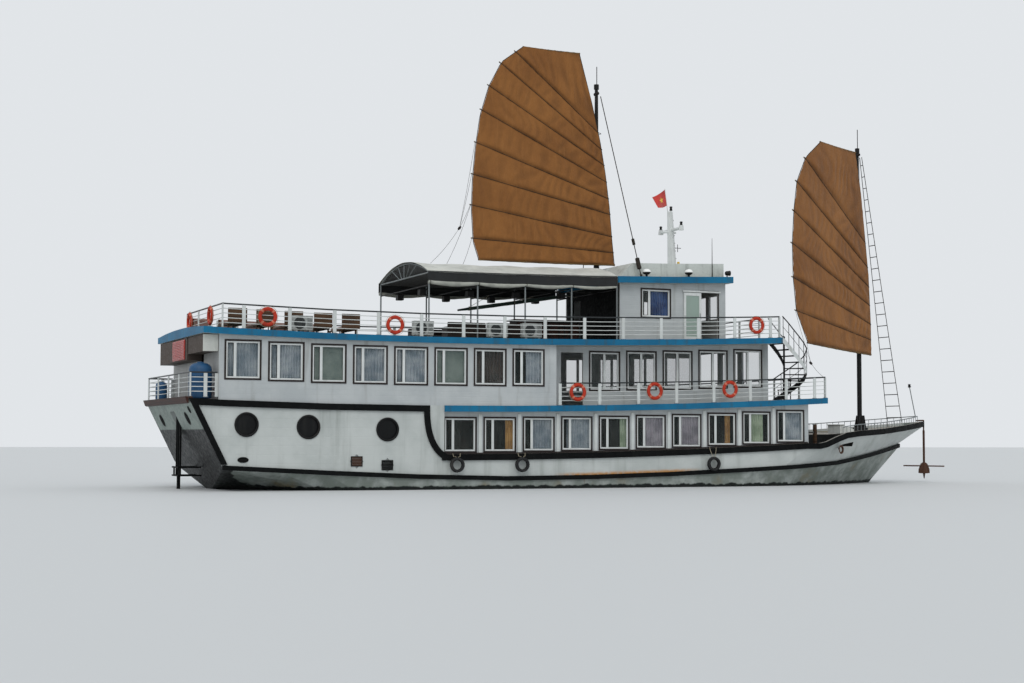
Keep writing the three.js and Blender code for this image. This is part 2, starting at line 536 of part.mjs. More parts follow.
// Spars from the foot to the yard: the luff end of each, then its leech end
const MAIN_SPARS = [
  [[-0.75, 0.06], [5.76, 0.02]],
  [[-0.7, 0.58], [6.05, 0.9]],
  [[-0.6, 1.3], [6.14, 2.35]],
  [[-0.52, 2.3], [6.1, 3.7]],
  [[-0.46, 3.0], [5.97, 5.1]],
  [[-0.37, 3.75], [5.75, 6.55]],
  [[-0.26, 4.5], [5.35, 7.65]],
  [[-0.12, 5.2], [4.74, 8.7]],
  [[0.05, 5.95], [3.78, 9.27]],
  [[1.0, 9.42], [3.66, 9.49]],
];
const FORE_LUFF = [[-0.64, 0], [-0.63, 1.42], [-0.46, 3.81], [-0.07, 6.3], [0.22, 7.99], [0.63, 9.74]];
const FORE_LEECH = [[3.6, 9.86], [4.93, 8.94], [5.68, 7.75], [5.95, 6.4], [6.1, 4.85], [6.05, 3.3], [5.81, 1.79], [4.85, 0.33]];
const FORE_SPARS = [
  [[-0.64, 0.06], [4.88, 0.4]],
  [[-0.64, 0.75], [5.79, 1.8]],
  [[-0.62, 1.5], [6.04, 3.3]],
  [[-0.58, 2.4], [6.08, 4.85]],
  [[-0.5, 3.3], [5.93, 6.35]],
  [[-0.4, 4.25], [5.62, 7.72]],
  [[-0.22, 5.4], [4.88, 8.88]],
  [[0.62, 9.62], [3.6, 9.78]],
];
const SAIL = { thick: 0.03, sideways: 0.3, spar: 0.035, yard: 0.05, rope: 0.02 };
const SAILS = {
  main: { mast: MAIN_MAST, foot: 9.82, swing: 0, outline: [...MAIN_LUFF, ...MAIN_LEECH], spars: MAIN_SPARS },
  fore: { mast: FORE_MAST, foot: 6.11, swing: 24, outline: [...FORE_LUFF, ...FORE_LEECH], spars: FORE_SPARS },
};
const sailPlace = ({ mast: m, foot, swing }, [s, h], sideways) => {
  const a = THREE.MathUtils.degToRad(swing);
  const along = [-Math.cos(a), -Math.sin(a)];
  const out = [Math.sin(a), -Math.cos(a)];
  return [m.x + along[0] * s + out[0] * sideways, m.y + along[1] * s + out[1] * sideways, foot + h];
};
function sail(kind) {
  const faces = [SAIL.sideways + SAIL.thick / 2, SAIL.sideways - SAIL.thick / 2];
  return loft(faces.map((side) => kind.outline.map((p) => sailPlace(kind, p, side))));
}
function sailSpars(kind) {
  const side = SAIL.sideways - SAIL.thick / 2 - SAIL.yard - 0.004;
  // Neighbours lie a little apart in depth, so that no two share a flat side
  const at = (p, step) => sailPlace(kind, p, side - step * 0.0017);
  const parts = [];
  const last = kind.spars.length - 1;
  kind.spars.forEach(([luff, leech], i) => {
    parts.push(rod(at(leech, i % 3), at(luff, i % 3), i === 0 || i === last ? SAIL.yard : SAIL.spar, 5));
  });
  for (const line of [kind.spars.map(([luff]) => luff), kind.spars.map(([, leech]) => leech)])
    line.slice(1).forEach((p, i) => parts.push(rod(at(line[i], 3 + (i % 2)), at(p, 3 + (i % 2)), SAIL.rope, 4)));
  return union(parts);
}

function mainStay(side) {
  const head = [MAIN_MAST.x + 0.1, side * 0.22, 17.45];
  const foot = [1.45, side * 2.98, roof(1.45) + 0.02];
  const way = (t) => head.map((v, k) => v + (foot[k] - v) * t);
  return union(
    rod(head, foot, 0.02, 6),
    rod(way(0.8), way(0.83), 0.07, 8),
    rod(way(0.905), way(0.96), 0.1, 8),
    rod([foot[0], foot[1], roof(1.45) + 0.002], [foot[0], foot[1], roof(1.45) + 0.1], 0.05, 8),
  );
}
function foreLadder() {
  const deck = sheerZ(16.85) - WELL.foreDeckDrop + 0.004;
  const parts = [];
  const head = (side) => [FORE_MAST.x + 0.2, side * 0.08, 15.7];
  const foot = (side) => [16.85, side * 0.59, deck];
  const way = (side, t) => head(side).map((v, k) => v + (foot(side)[k] - v) * t);
  for (const side of [-1, 1]) parts.push(rod(head(side), foot(side), 0.022, 4));
  for (let i = 0; i <= 21; i++) parts.push(rod(way(-1, 0.03 + i * 0.045), way(1, 0.03 + i * 0.045), 0.018, 4));
  return union(parts);
}

// Railings: bars swept along the path, posts at its marks
const RAIL_BARS = [0.2, 0.38, 0.56, 0.74];
function railing(path, posts, height = 0.95, bars = RAIL_BARS) {
  const parts = [ribbon(path, -0.025, 0.025, height - 0.05, height)];
  for (const bar of bars) parts.push(ribbon(path, -0.012, 0.012, bar - 0.016, bar + 0.016));
  for (const [x, y, z] of posts) parts.push(box(x - 0.035, x + 0.035, y - 0.035, y + 0.035, z + 0.004, z + height - 0.01));
  return union(parts);
}
const sideRun = (x0, x1, y, deck) =>
  knots(x0, x1).map((x) => [x, y, deck(x)]);
const postRun = (x0, x1, count, y, deck) =>
  Array.from({ length: count }, (_, i) => x0 + ((x1 - x0) * i) / (count - 1)).map((x) => [x, y, deck(x)]);
const RING = { outer: 0.3, tube: 0.07 };
const lifeRing = (x, y, z, turned = 0) => {
  const torus = new THREE.TorusGeometry(RING.outer, RING.tube, 4, 12).rotateX(Math.PI / 2).rotateZ(turned);
  return solid(torus.translate(x, y, z));
};

function sunDeckRail() {
  const y = SUN_DECK.half - 0.12;
  const x0 = -17.2;
  const x1 = SUN_DECK.x1 - 0.1;
  // The after port corner is open above a kerb, between the after rail's end and the side rail's end
  const open = { x: -15.39, y: 2.05 };
  const starboard = sideRun(x0, x1, -y, sun);
  const port = sideRun(open.x, x1, y, sun).reverse();
  const fromStair = [[x1, -2.6, sun(x1)], [x1, -2.3, sun(x1)], [x1, y, sun(x1)], ...port.slice(1)];
  const around = [[x0, open.y, sun(x0)], ...starboard];
  const kerb = [...sideRun(x0, open.x, y, sun).reverse(), [x0, open.y, sun(x0)]];
  const sidePosts = postRun(open.x, x1, 7, y, sun);
  const afterPosts = [-2.1, -0.1, open.y].map((t) => [x0, t, sun(x0)]);
  const forePosts = [-2.6, 0, 2.2].map((t) => [x1, t, sun(x1)]);
  const rings = [-15.46, -10.2, 6.46].map((x) => lifeRing(x, -y - 0.02, sun(x) + 0.56));
  rings.push(lifeRing(x0, -2.6, sun(x0) + 0.56, Math.PI / 2), lifeRing(x0, 1.15, sun(x0) + 0.56, Math.PI / 2));
  return union(
    railing(fromStair, [...sidePosts, ...forePosts]),
    railing(around, [...postRun(x0, x1, 8, -y, sun), ...afterPosts]),
    ribbon(kerb, -0.035, 0.035, 0.004, 0.08),
    rings,
  );
}
function midDeckRail() {
  const y = MID_DECK.half - 0.1;
  const x0 = -3.0;
  const x1 = MID_DECK.x1 - 0.08;
  const path = [...sideRun(x0, x1, -y, mid), ...sideRun(x0, x1, y, mid).reverse()];
  const posts = [...postRun(x0, x1, 5, -y, mid), ...postRun(x0, x1, 5, y, mid), [x1, -1.5, mid(x1)], [x1, 1.5, mid(x1)]];
  const rings = [-2.21, 1.41, 5.09].map((x) => lifeRing(x, -y - 0.02, mid(x) + 0.55));
  return union(railing(path, posts), rings);
}
function sternRail() {
  const y = 4.1;
  const x0 = -18.36;
  const x1 = AFT_CABIN.x0 - 0.05;
  // Its after run stands on the cap rail, its sides on the deck
  const z = mid(-18.4) + 0.062;
  const path = [[x1, -y, z], [x0, -y, z], [x0, y, z], [x1, y, z]];
  const onCap = [-1, -0.5, 0, 0.5, 1].map((t) => [x0, t * y, z]);
  const onDeck = [x1, -17.78].flatMap((x) =>
    [-y, y].map((at) => box(x - 0.035, x + 0.035, at - 0.035, at + 0.035, mid(x) + 0.004, z + 0.94)),
  );
  return union(railing(path, onCap), onDeck);
}
function bowRail() {
  const half = (x) => sheerHalf(x) - 0.06;
  const xs = [11.3, 12.4, 13.6, 14.8, 15.9, 16.9, 17.6];
  const starboard = xs.map((x) => [x, -half(x), sheerZ(x) + 0.012]);
  const tip = [[18.05, -0.16, sheerZ(18.05) + 0.004], [18.05, 0.16, sheerZ(18.05) + 0.004]];
  const path = [...starboard, ...tip, ...starboard.map(([x, y, z]) => [x, -y, z]).reverse()];
  const parts = [ribbon(path, -0.02, 0.02, 0.26, 0.3)];
  for (const [x, y, z] of path) parts.push(box(x - 0.02, x + 0.02, y - 0.02, y + 0.02, z, z + 0.27));
  // Bow light on its leaning pole
  parts.push(rod([18.05, 0, sheerZ(18) + 0.28], [17.72, 0, 4.62], 0.022, 6), rod([17.72, 0, 4.6], [17.7, 0, 4.76], 0.07, 8));
  return union(parts);
}

// Curved stair from the sun deck to the middle deck
function spiralStair() {
  const { x, y, radius, post, start, end, treads } = STAIR;
  const low = mid(x) + 0.006;
  const high = sun(SUN_DECK.x1) - 0.02;
  const turn = (t) => THREE.MathUtils.degToRad(start + (end - start) * t);
  const height = (t) => high + (low - high) * t;
  const parts = [rod([x, y, low], [x, y, high + 0.3], post, 10)];
  for (let i = 0; i < treads; i++) {
    const [a, b] = [turn((i + 0.5) / treads), turn((i + 1.45) / treads)];
    const z = height((i + 0.9) / treads);
    const tread = [[0, 0], [Math.cos(a) * radius, Math.sin(a) * radius], [Math.cos(b) * radius, Math.sin(b) * radius]];
    if (i < treads - 1) parts.push(loft([z, z + 0.035].map((h) => tread.map(([p, q]) => [x + p, y + q, h]))));
  }
  const helix = (r, thick, low0, high0) =>
    loft(
      Array.from({ length: 15 }, (_, i) => i / 14).map((t) => {
        const [c, s] = [Math.cos(turn(t)), Math.sin(turn(t))];
        const z = height(t);
        const zLow = Math.max(z + low0, low);
        return [
          [x + c * (r - thick), y + s * (r - thick), zLow],
          [x + c * (r + thick), y + s * (r + thick), zLow],
          [x + c * (r + thick), y + s * (r + thick), z + high0],
          [x + c * (r - thick), y + s * (r - thick), z + high0],
        ];
      }),
    );
  parts.push(helix(radius, 0.02, -0.16, 0.08), helix(radius, 0.025, 0.92, 0.97));
  for (let i = 0; i <= 9; i++) {
    const t = 0.01 + i * 0.108;
    const [c, s] = [Math.cos(turn(t)), Math.sin(turn(t))];
    parts.push(rod([x + c * radius, y + s * radius, height(t)], [x + c * radius, y + s * radius, height(t) + 0.94], 0.016, 5));
  }
  return union(parts);
}

// Fittings on deck and on the side
function acUnit(x) {
  const z = sun(x) + 0.012;
  const body = box(x - 0.42, x + 0.42, -3.98, -3.66, z + 0.06, z + 0.64);
  const feet = [-0.3, 0.3].map((d) => box(x + d - 0.05, x + d + 0.05, -3.98, -3.66, z, z + 0.07));
  return union(body, feet, rod([x - 0.12, -4.01, z + 0.35], [x - 0.12, -3.9, z + 0.35], 0.23, 16));
}
const barCounter = () => {
  const z = sun(-0.4) + 0.005;
  return union(box(-3.4, -0.4, -0.6, 0.2, z, z + 0.95), box(-3.55, -0.25, -0.75, 0.35, z + 0.94, z + 1.0));
};
// A domed tank: x, y, radius and height
const drum = ([x, y, radius, tall]) => {
  const z = mid(-18.3) + 0.008;
  const points = [[0, 0], [0.94, 0], [1, 0.04], [1, 0.4], [1.04, 0.42], [1, 0.44], [1, 0.8], [0.86, 0.9], [0.55, 0.97], [0, 1]];
  const geometry = new THREE.LatheGeometry(points.map(([r, h]) => new THREE.Vector2(r * radius, h * tall)), 20);
  return solid(geometry.rotateX(Math.PI / 2).translate(x, y, z));
};
function sternCabinets() {
  const top = sun(-17.3) - BAND - 0.004;
  const front = AFT_CABIN.x0 - 0.004;
  return union(
    box(-17.88, front, -4.1, -1.3, top - 0.66, top),
    box(-17.92, front, -1.31, 4.0, top - 0.9, top),
  );
}
function fender(x) {
  const face = -HULL.halfBeam - 0.09 - 0.1;
  const z = 0.99;
  const torus = new THREE.TorusGeometry(0.22, 0.09, 6, 14).rotateX(Math.PI / 2).translate(x, face, z);
  return solid(torus).add(rod([x, face, z + 0.25], [x, face, sheerZ(x) + 0.04], 0.02, 5));
}
function anchor() {
  const x = 18.53;
  const bar = 0.77;
  const parts = [rod([x, 0, 0.6], [x, 0, 2.5], 0.055, 8), rod([x - 1.2, 0, bar + 0.02], [x + 1.2, 0, bar - 0.02], 0.032, 8)];
  // Folded flukes: a bell of plates with a spike below
  const fluke = [[-0.3, -0.35], [-0.29, -0.16], [-0.17, 0.1], [-0.06, 0.17], [0.06, 0.17], [0.17, 0.1], [0.29, -0.16], [0.3, -0.35]];
  parts.push(sidePlate(fluke.map(([dx, dz]) => [x + dx, bar + dz]), -0.05, 0.05));
  parts.push(rod([x, 0, bar - 0.36], [x, 0, bar + 0.15], 0.2, 10, 0.05), rod([x, 0, 0.16], [x, 0, bar - 0.3], 0.02, 8, 0.07));
  parts.push(rod([x, 0, 2.45], [x, 0, 3.0], 0.035, 6), rod([x, 0, 2.985], [18.1, 0, 2.975], 0.035, 6));
  return union(parts);
}
function windlass() {
  const x = 11.15;
  const z = WELL.deck + 0.004;
  const cheeks = [-0.4, 0.4].map((y) => box(x - 0.1, x + 0.1, y - 0.05, y + 0.05, z, z + 0.55));
  const bitts = [-1, 1].flatMap((side) => [10.55, 11.0].map((at) => box(at - 0.07, at + 0.07, side * 1.9 - 0.07, side * 1.9 + 0.07, z, z + 1.0)));
  return union(
    box(10.45, 11.5, -2.05, 2.05, z, z + 0.07),
    cheeks,
    bitts,
    rod([x, -0.75, z + 0.42], [x, 0.75, z + 0.42], 0.16, 12),
  );
}

// The model
const ship = new THREE.Group();
const metres = new THREE.Group();
metres.scale.setScalar(1000);
ship.add(metres);
const add = (name, body, colour, roughness = 0.6, metalness = 0) => {
  const material = new THREE.MeshStandardMaterial({ color: COLOUR[colour], roughness, metalness });
  const mesh = new THREE.Mesh(geometryOf(body), material);
  mesh.name = name;
  metres.add(mesh);
};

add("hull", hullLength(-20, BUTTS.fore), "white");
add("hull_fore", hullLength(BUTTS.fore, BUTTS.bow), "white");
add("hull_bow", hullLength(BUTTS.bow, 20), "white");
add("sheer_strake", sheerStrake(), "black");
add("lower_wale", lowerWale(), "black");
add("stern_cap_rail", sternCapRail(), "brown");
add("rudder", rudder(), "black");
add("propeller", propeller(), "steel", 0.35, 1);
add("stern_platform", sternPlatform(), "black", 0.5, 0.6);
add("mid_deck", deckSlab(MID_DECK, mid), "blue");
add("sun_deck", sunDeck(), "blue");
for (const [side, word] of [[-1, "starboard"], [1, "port"]]) {
  add("house_wall_" + word, houseWall(side), "white");
  add("cabin_wall_" + word, cabinWall(side), "white");
  add("saloon_wall_" + word, saloonWall(side), "white");
  add("wheelhouse_wall_" + word, wheelWall(side), "white");
  add("wheelhouse_door_" + word, wheelDoor(side), "white");
  add("main_stay_" + word, mainStay(side), "black");
}
add("house_front", houseFront(), "white");
add("house_door", houseDoor(), "brown");
add("cabin_aft_wall", cabinEnd(AFT_CABIN.x0, -1.6), "white");
add("cabin_bulkhead", cabinEnd(AFT_CABIN.x1 - AFT_CABIN.wall, -0.4), "white");
add("saloon_front", saloonFront(), "white");
add("wheelhouse_front", wheelFront(), "white");
add("wheelhouse_aft_wall", wheelAft(), "brown");
add("wheelhouse_roof", wheelRoof(), "blue");
add("roof_box", roofBox(), "pale");
add("signal_mast", signalMast(), "white");
add("canopy_frame", canopyFrame(), "grey", 0.5, 0.5);
add("canopy_roof", canopyRoof(), "pale", 0.9);
add("main_mast", mast(MAIN_MAST, sun(MAIN_MAST.x + 0.15) + 0.005), "black");
add("fore_mast", mast(FORE_MAST, sheerZ(14.8) - WELL.foreDeckDrop + 0.03), "black");
add("main_sail", sail(SAILS.main), "canvas", 0.95);
add("main_sail_spars", sailSpars(SAILS.main), "brown");
add("fore_sail", sail(SAILS.fore), "canvas", 0.95);
add("fore_sail_spars", sailSpars(SAILS.fore), "brown");
add("fore_ladder", foreLadder(), "black");
add("sun_deck_rail", sunDeckRail(), "white");
add("mid_deck_rail", midDeckRail(), "white");
add("stern_rail", sternRail(), "white");
add("bow_rail", bowRail(), "grey", 0.5, 0.5);
add("spiral_stair", spiralStair(), "black", 0.5, 0.6);
[-13.96, -8.91, -5.66, -4.13].forEach((x, i) => add("ac_unit_" + (i + 1), acUnit(x), "pale"));
add("bar_counter", barCounter(), "brown");
const TANKS = [[-17.83, -3.43, 0.44, 1.4], [-17.92, 3.65, 0.24, 0.86]];
TANKS.forEach((tank, i) => add("drum_" + (i + 1), drum(tank), "drum", 0.4));
add("stern_cabinets", sternCabinets(), "grey");
[-7.61, -4.76, 4.22].forEach((x, i) => add("fender_" + (i + 1), fender(x), "rubber", 0.9));
add("anchor", anchor(), "black", 0.6, 0.6);
add("windlass", windlass(), "grey", 0.6, 0.4);

export default ship;
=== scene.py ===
# %% [markdown]
# # A passenger junk with two lug sails
# A long timber ship with three decks, ochre sails on bamboo-like battens and a wheelhouse.
# The hull, decks and walls come as solids whose shape is already right, so they keep their
# meshes and get better materials. What is fine, round or soft is built here in mesh code.

# %% Load the solids
import math

import bpy
from mathutils import Matrix, Vector, noise


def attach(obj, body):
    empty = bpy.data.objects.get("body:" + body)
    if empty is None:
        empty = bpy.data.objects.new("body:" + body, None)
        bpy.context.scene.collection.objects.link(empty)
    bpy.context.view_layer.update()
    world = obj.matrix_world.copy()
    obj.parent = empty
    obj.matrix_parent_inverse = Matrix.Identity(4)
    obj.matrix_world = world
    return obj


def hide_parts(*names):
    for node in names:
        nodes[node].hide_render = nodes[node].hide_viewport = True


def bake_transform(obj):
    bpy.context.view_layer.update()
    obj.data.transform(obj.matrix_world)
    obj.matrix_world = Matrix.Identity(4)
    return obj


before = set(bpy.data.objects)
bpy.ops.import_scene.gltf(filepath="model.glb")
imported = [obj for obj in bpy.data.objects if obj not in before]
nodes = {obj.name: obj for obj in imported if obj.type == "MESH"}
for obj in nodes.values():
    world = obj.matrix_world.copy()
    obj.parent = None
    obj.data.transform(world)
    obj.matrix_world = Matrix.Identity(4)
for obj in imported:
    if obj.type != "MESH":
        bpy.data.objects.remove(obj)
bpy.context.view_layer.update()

# %% [markdown]
# ## Deck heights
# Every deck rises towards bow and stern, which shipwrights call sheer. The solids follow it in
# straight stretches of four metres, so one function gives the height of any deck at any x,
# and everything that stands on a deck asks it.

# %% Heights of the decks
SHEER_LOW_X = -9.0
SHEER_STEP = 4.0
DECK_HEIGHTS = {"main": 1.41, "middle": 3.37, "sun": 6.12, "roof": 8.92, "eave": 8.89, "box": 9.55}


def rise(x):
    """How much the sheer lifts a deck at x, steeper towards the stern."""
    return (x - SHEER_LOW_X) ** 2 * (0.002 if x < SHEER_LOW_X else 0.00143)


def deck(name, x):
    """The height of a deck at x, on a straight line between two steps of the sheer."""
    start = SHEER_LOW_X + SHEER_STEP * math.floor((x - SHEER_LOW_X) / SHEER_STEP)
    share = (x - start) / SHEER_STEP
    return DECK_HEIGHTS[name] + rise(start) * (1 - share) + rise(start + SHEER_STEP) * share


print("sun deck at stern, middle and front:", [round(deck("sun", x), 2) for x in (-17.9, -9, 7.7)])

# %% [markdown]
# ## Camera
# The photograph was taken from low over the water, off the starboard quarter, with a long lens.
# Its place was found by fitting the decks, masts and rails to the picture, so the camera is
# set from few values: where it stands, which way it looks, and how long its lens is.

# %% Camera
CAMERA_PLACE = Vector((-31.738, -66.377, 2.1))
CAMERA_HEADING = math.radians(23.148)
CAMERA_PITCH = math.radians(3.324)
CAMERA_ROLL = math.radians(0.168)

camera_data = bpy.data.cameras.new("camera")
camera_data.lens = 58.04
camera_data.sensor_width = 36.0
camera_data.clip_start = 1.0
camera_data.clip_end = 600.0
camera = bpy.data.objects.new("camera", camera_data)
bpy.context.scene.collection.objects.link(camera)
bpy.context.scene.camera = camera
level = math.cos(CAMERA_PITCH)
looking = Vector(
    (math.sin(CAMERA_HEADING) * level, math.cos(CAMERA_HEADING) * level, math.sin(CAMERA_PITCH))
)
turn = looking.to_track_quat("-Z", "Y").to_matrix().to_4x4()
camera.matrix_world = Matrix.Translation(CAMERA_PLACE) @ turn @ Matrix.Rotation(CAMERA_ROLL, 4, "Z")
print("camera looks along", tuple(round(v, 3) for v in looking))

# %% [markdown]
# ## Light and floor
# The day is overcast: one huge soft source overhead, slightly cool, and hardly a shadow. A bright
# even world does most of it, and a wide sun softened to a large disc gives the sails some shape.
# The floor stands for the water's surface, so the hull goes through it at the waterline.

# %% Light and floor
scene = bpy.context.scene
scene.view_settings.view_transform = "Standard"
world = bpy.data.worlds.new("overcast")
scene.world = world
world.use_nodes = True
sky = world.node_tree.nodes["Background"]
sky.inputs["Color"].default_value = (0.84, 0.87, 0.90, 1)
sky.inputs["Strength"].default_value = 0.9

lamp_data = bpy.data.lights.new("soft_sun", "SUN")
lamp_data.energy = 1.0
lamp_data.angle = math.radians(40)
lamp_data.color = (1.0, 0.97, 0.93)
lamp = bpy.data.objects.new("soft_sun", lamp_data)
scene.collection.objects.link(lamp)
lamp.rotation_euler = (math.radians(42), 0, math.radians(-28))

FLOOR_HALF = 260
floor_mesh = bpy.data.meshes.new("floor")
corners = [(x * FLOOR_HALF, y * FLOOR_HALF, 0) for x, y in ((-1, -1), (1, -1), (1, 1), (-1, 1))]
floor_mesh.from_pydata(corners, [], [(0, 1, 2, 3)])
floor = bpy.data.objects.new("floor", floor_mesh)
scene.collection.objects.link(floor)
floor_finish = bpy.data.materials.new("pale_floor")
floor_finish.use_nodes = True
floor_finish.node_tree.nodes["Principled BSDF"].inputs["Base Color"].default_value = (0.56, 0.58, 0.59, 1)
floor_finish.node_tree.nodes["Principled BSDF"].inputs["Roughness"].default_value = 0.7
floor_mesh.materials.append(floor_finish)

# %% [markdown]
# ## How a finish is mixed
# A painted ship is never one colour: rain leaves streaks, salt leaves spots, hands wear edges.
# A node material can say all that with noise in the object's own metres, and needs no images.
# One small class holds the steps that every finish repeats, so each recipe stays a few lines.

# %% A helper that mixes finishes
def tone(hex_code):
    """The linear colour of a web colour such as 2e7fa6."""
    values = [int(hex_code[i : i + 2], 16) / 255 for i in (0, 2, 4)]
    return tuple(v / 12.92 if v <= 0.04045 else ((v + 0.055) / 1.055) ** 2.4 for v in values) + (1,)


class Finish:
    """A node material in the making: each step adds nodes and gives back their output."""

    def __init__(self, name, roughness, metallic=0.0):
        self.material = bpy.data.materials.new(name)
        self.material.use_nodes = True
        self.tree = self.material.node_tree
        self.shader = self.tree.nodes["Principled BSDF"]
        self.set_value("Roughness", roughness)
        self.set_value("Metallic", metallic)
        self.place = self.tree.nodes.new("ShaderNodeTexCoord").outputs["Object"]
        apart = self.node("SeparateXYZ", {"Vector": self.place})
        self.x, self.y, self.z = apart.outputs
        facing = self.tree.nodes.new("ShaderNodeNewGeometry").outputs["Normal"]
        self.facing = self.node("SeparateXYZ", {"Vector": facing}).outputs

    def node(self, kind, sockets, **settings):
        made = self.tree.nodes.new("ShaderNode" + kind)
        for key, value in settings.items():
            setattr(made, key, value)
        for key, value in sockets.items():
            if isinstance(value, bpy.types.NodeSocket):
                self.tree.links.new(value, made.inputs[key])
            else:
                made.inputs[key].default_value = value
        return made

    def math(self, operation, a, b=0.0):
        return self.node("Math", {0: a, 1: b}, operation=operation).outputs[0]

    def times(self, a, b):
        return self.math("MULTIPLY", a, b)

    def plus(self, a, b):
        return self.math("ADD", a, b)

    def less(self, a, b):
        return self.math("SUBTRACT", a, b)

    def ramp(self, value, low, high):
        """0 below low, 1 above high, and smooth between; low may be the larger."""
        sockets = {"Value": value, "From Min": low, "From Max": high}
        return self.node("MapRange", sockets, interpolation_type="SMOOTHSTEP").outputs[0]

    def spots(self, scale, low, high, stretch=(1, 1, 1), detail=5.0):
        moved = self.node("Mapping", {"Vector": self.place, "Scale": stretch}).outputs[0]
        sockets = {"Vector": moved, "Scale": scale, "Detail": detail, "Roughness": 0.6}
        return self.ramp(self.node("TexNoise", sockets).outputs[0], low, high)

    def over(self, under, colour, mask):
        """A colour laid over another where the mask is; both may be web colours."""
        under, colour = (tone(c) if isinstance(c, str) else c for c in (under, colour))
        mix = self.node("Mix", {0: mask, 6: under, 7: colour}, data_type="RGBA")
        return mix.outputs[2]

    def tint(self, under, colour, mask, share):
        return self.over(under, colour, self.times(mask, share))

    def set_value(self, socket, value):
        self.shader.inputs[socket].default_value = value

    def set_colour(self, colour):
        self.tree.links.new(colour, self.shader.inputs["Base Color"])

    def set_roughness(self, mask, low, high):
        sockets = {"Value": mask, "To Min": low, "To Max": high}
        value = self.node("MapRange", sockets).outputs[0]
        self.tree.links.new(value, self.shader.inputs["Roughness"])

    def set_bump(self, height, distance, strength=1.0):
        bump = self.node("Bump", {"Height": height, "Distance": distance, "Strength": strength})
        self.tree.links.new(bump.outputs[0], self.shader.inputs["Normal"])


print("tone 2e7fa6:", tuple(round(v, 3) for v in tone("2e7fa6")))

# %% [markdown]
# ## Painted metal and timber
# Most fittings share one kind of finish: brush paint with clouds of fading, dirt that runs down,
# and a slightly uneven surface. The recipe takes the colour and how dirty, rough and lumpy it is.

# %% Weathered paint
def weathered(
    name, colour, roughness=0.5, dirt=0.35, metallic=0.0, lumps=0.003, grime="3a3a34", gloss=0.35
):
    finish = Finish(name, roughness, metallic)
    finish.set_value("Specular IOR Level", gloss)
    base = tone(colour)
    faded = tuple(min(1.0, v * 1.15 + 0.002) for v in base[:3]) + (1,)
    shade = finish.over(base, faded, finish.spots(1.3, 0.35, 0.7))
    runs = finish.spots(3.2, 0.5, 0.78, stretch=(1, 1, 0.12))
    specks = finish.spots(26, 0.58, 0.72)
    marks = finish.times(finish.math("MAXIMUM", runs, specks), dirt)
    finish.set_colour(finish.over(shade, grime, marks))
    finish.set_roughness(finish.spots(9, 0.3, 0.7), roughness * 0.8, min(1.0, roughness * 1.25))
    finish.set_bump(finish.spots(14, 0.2, 0.8), lumps)
    return finish.material


belt_black = weathered("belt_black", "07090a", 0.65, 0.25, grime="20231f", gloss=0.1)
rail_white = weathered("rail_white", "bfc4c3", 0.42, 0.35, grime="7c6a52")
handrail_steel = weathered("handrail_steel", "303436", 0.4, 0.3, 0.5)
trim_brown = weathered("trim_brown", "1e1413", 0.4, 0.25, gloss=0.3)
frame_white = weathered("frame_white", "c8cccb", 0.35, 0.2)
steel_black = weathered("steel_black", "0b0c0d", 0.5, 0.3, grime="33281f", gloss=0.25)
galvanised = weathered("galvanised", "7d8384", 0.45, 0.4, 0.7)
# Near black: on the wheelhouse's aft wall it is painted shade, elsewhere it is the colour of dark parts
black_and_shade = weathered("black_and_shade", "0c0d0e", 0.8, 0.2, gloss=0.1)
print("paints:", [m.name for m in bpy.data.materials][-8:])

# %% [markdown]
# ## Hull paint
# The side tells how the ship lives. White above, a green-grey stain under the lower belt, black
# growth at the waterline that near the stern rises to the belt as growth and painted shade, rust
# that runs from the belt's bolts, and a dark lower transom. Each is a mask over the one before it.
# The belt isn't level, so a curve of its height along the ship lets the stain follow it.

# %% Hull finish
BELT_HEIGHTS = [
    (-17.2, 1.01), (-13, 0.79), (-8.7, 0.6), (-5.8, 0.52), (-2, 0.54), (3.1, 0.68), (8.7, 0.94),
    (11.2, 1.09), (13.8, 1.42), (17, 1.86)
]
CURVE_LENGTH = 40.0
CURVE_HEIGHT = 2.0


def belt_height_nodes(finish):
    """The lower belt's top above the water, for every point along the ship."""
    along = finish.math("MULTIPLY_ADD", finish.x, 1 / CURVE_LENGTH)
    along.node.inputs[2].default_value = 0.5
    curve = finish.node("FloatCurve", {"Value": along})
    line = curve.mapping.curves[0]
    points = [(x / CURVE_LENGTH + 0.5, z / CURVE_HEIGHT) for x, z in BELT_HEIGHTS]
    line.points[0].location, line.points[1].location = points[0], points[-1]
    for x, z in points[1:-1]:
        line.points.new(x, z)
    for point in line.points:
        point.handle_type = "VECTOR"
    curve.mapping.update()
    return finish.times(curve.outputs[0], CURVE_HEIGHT)


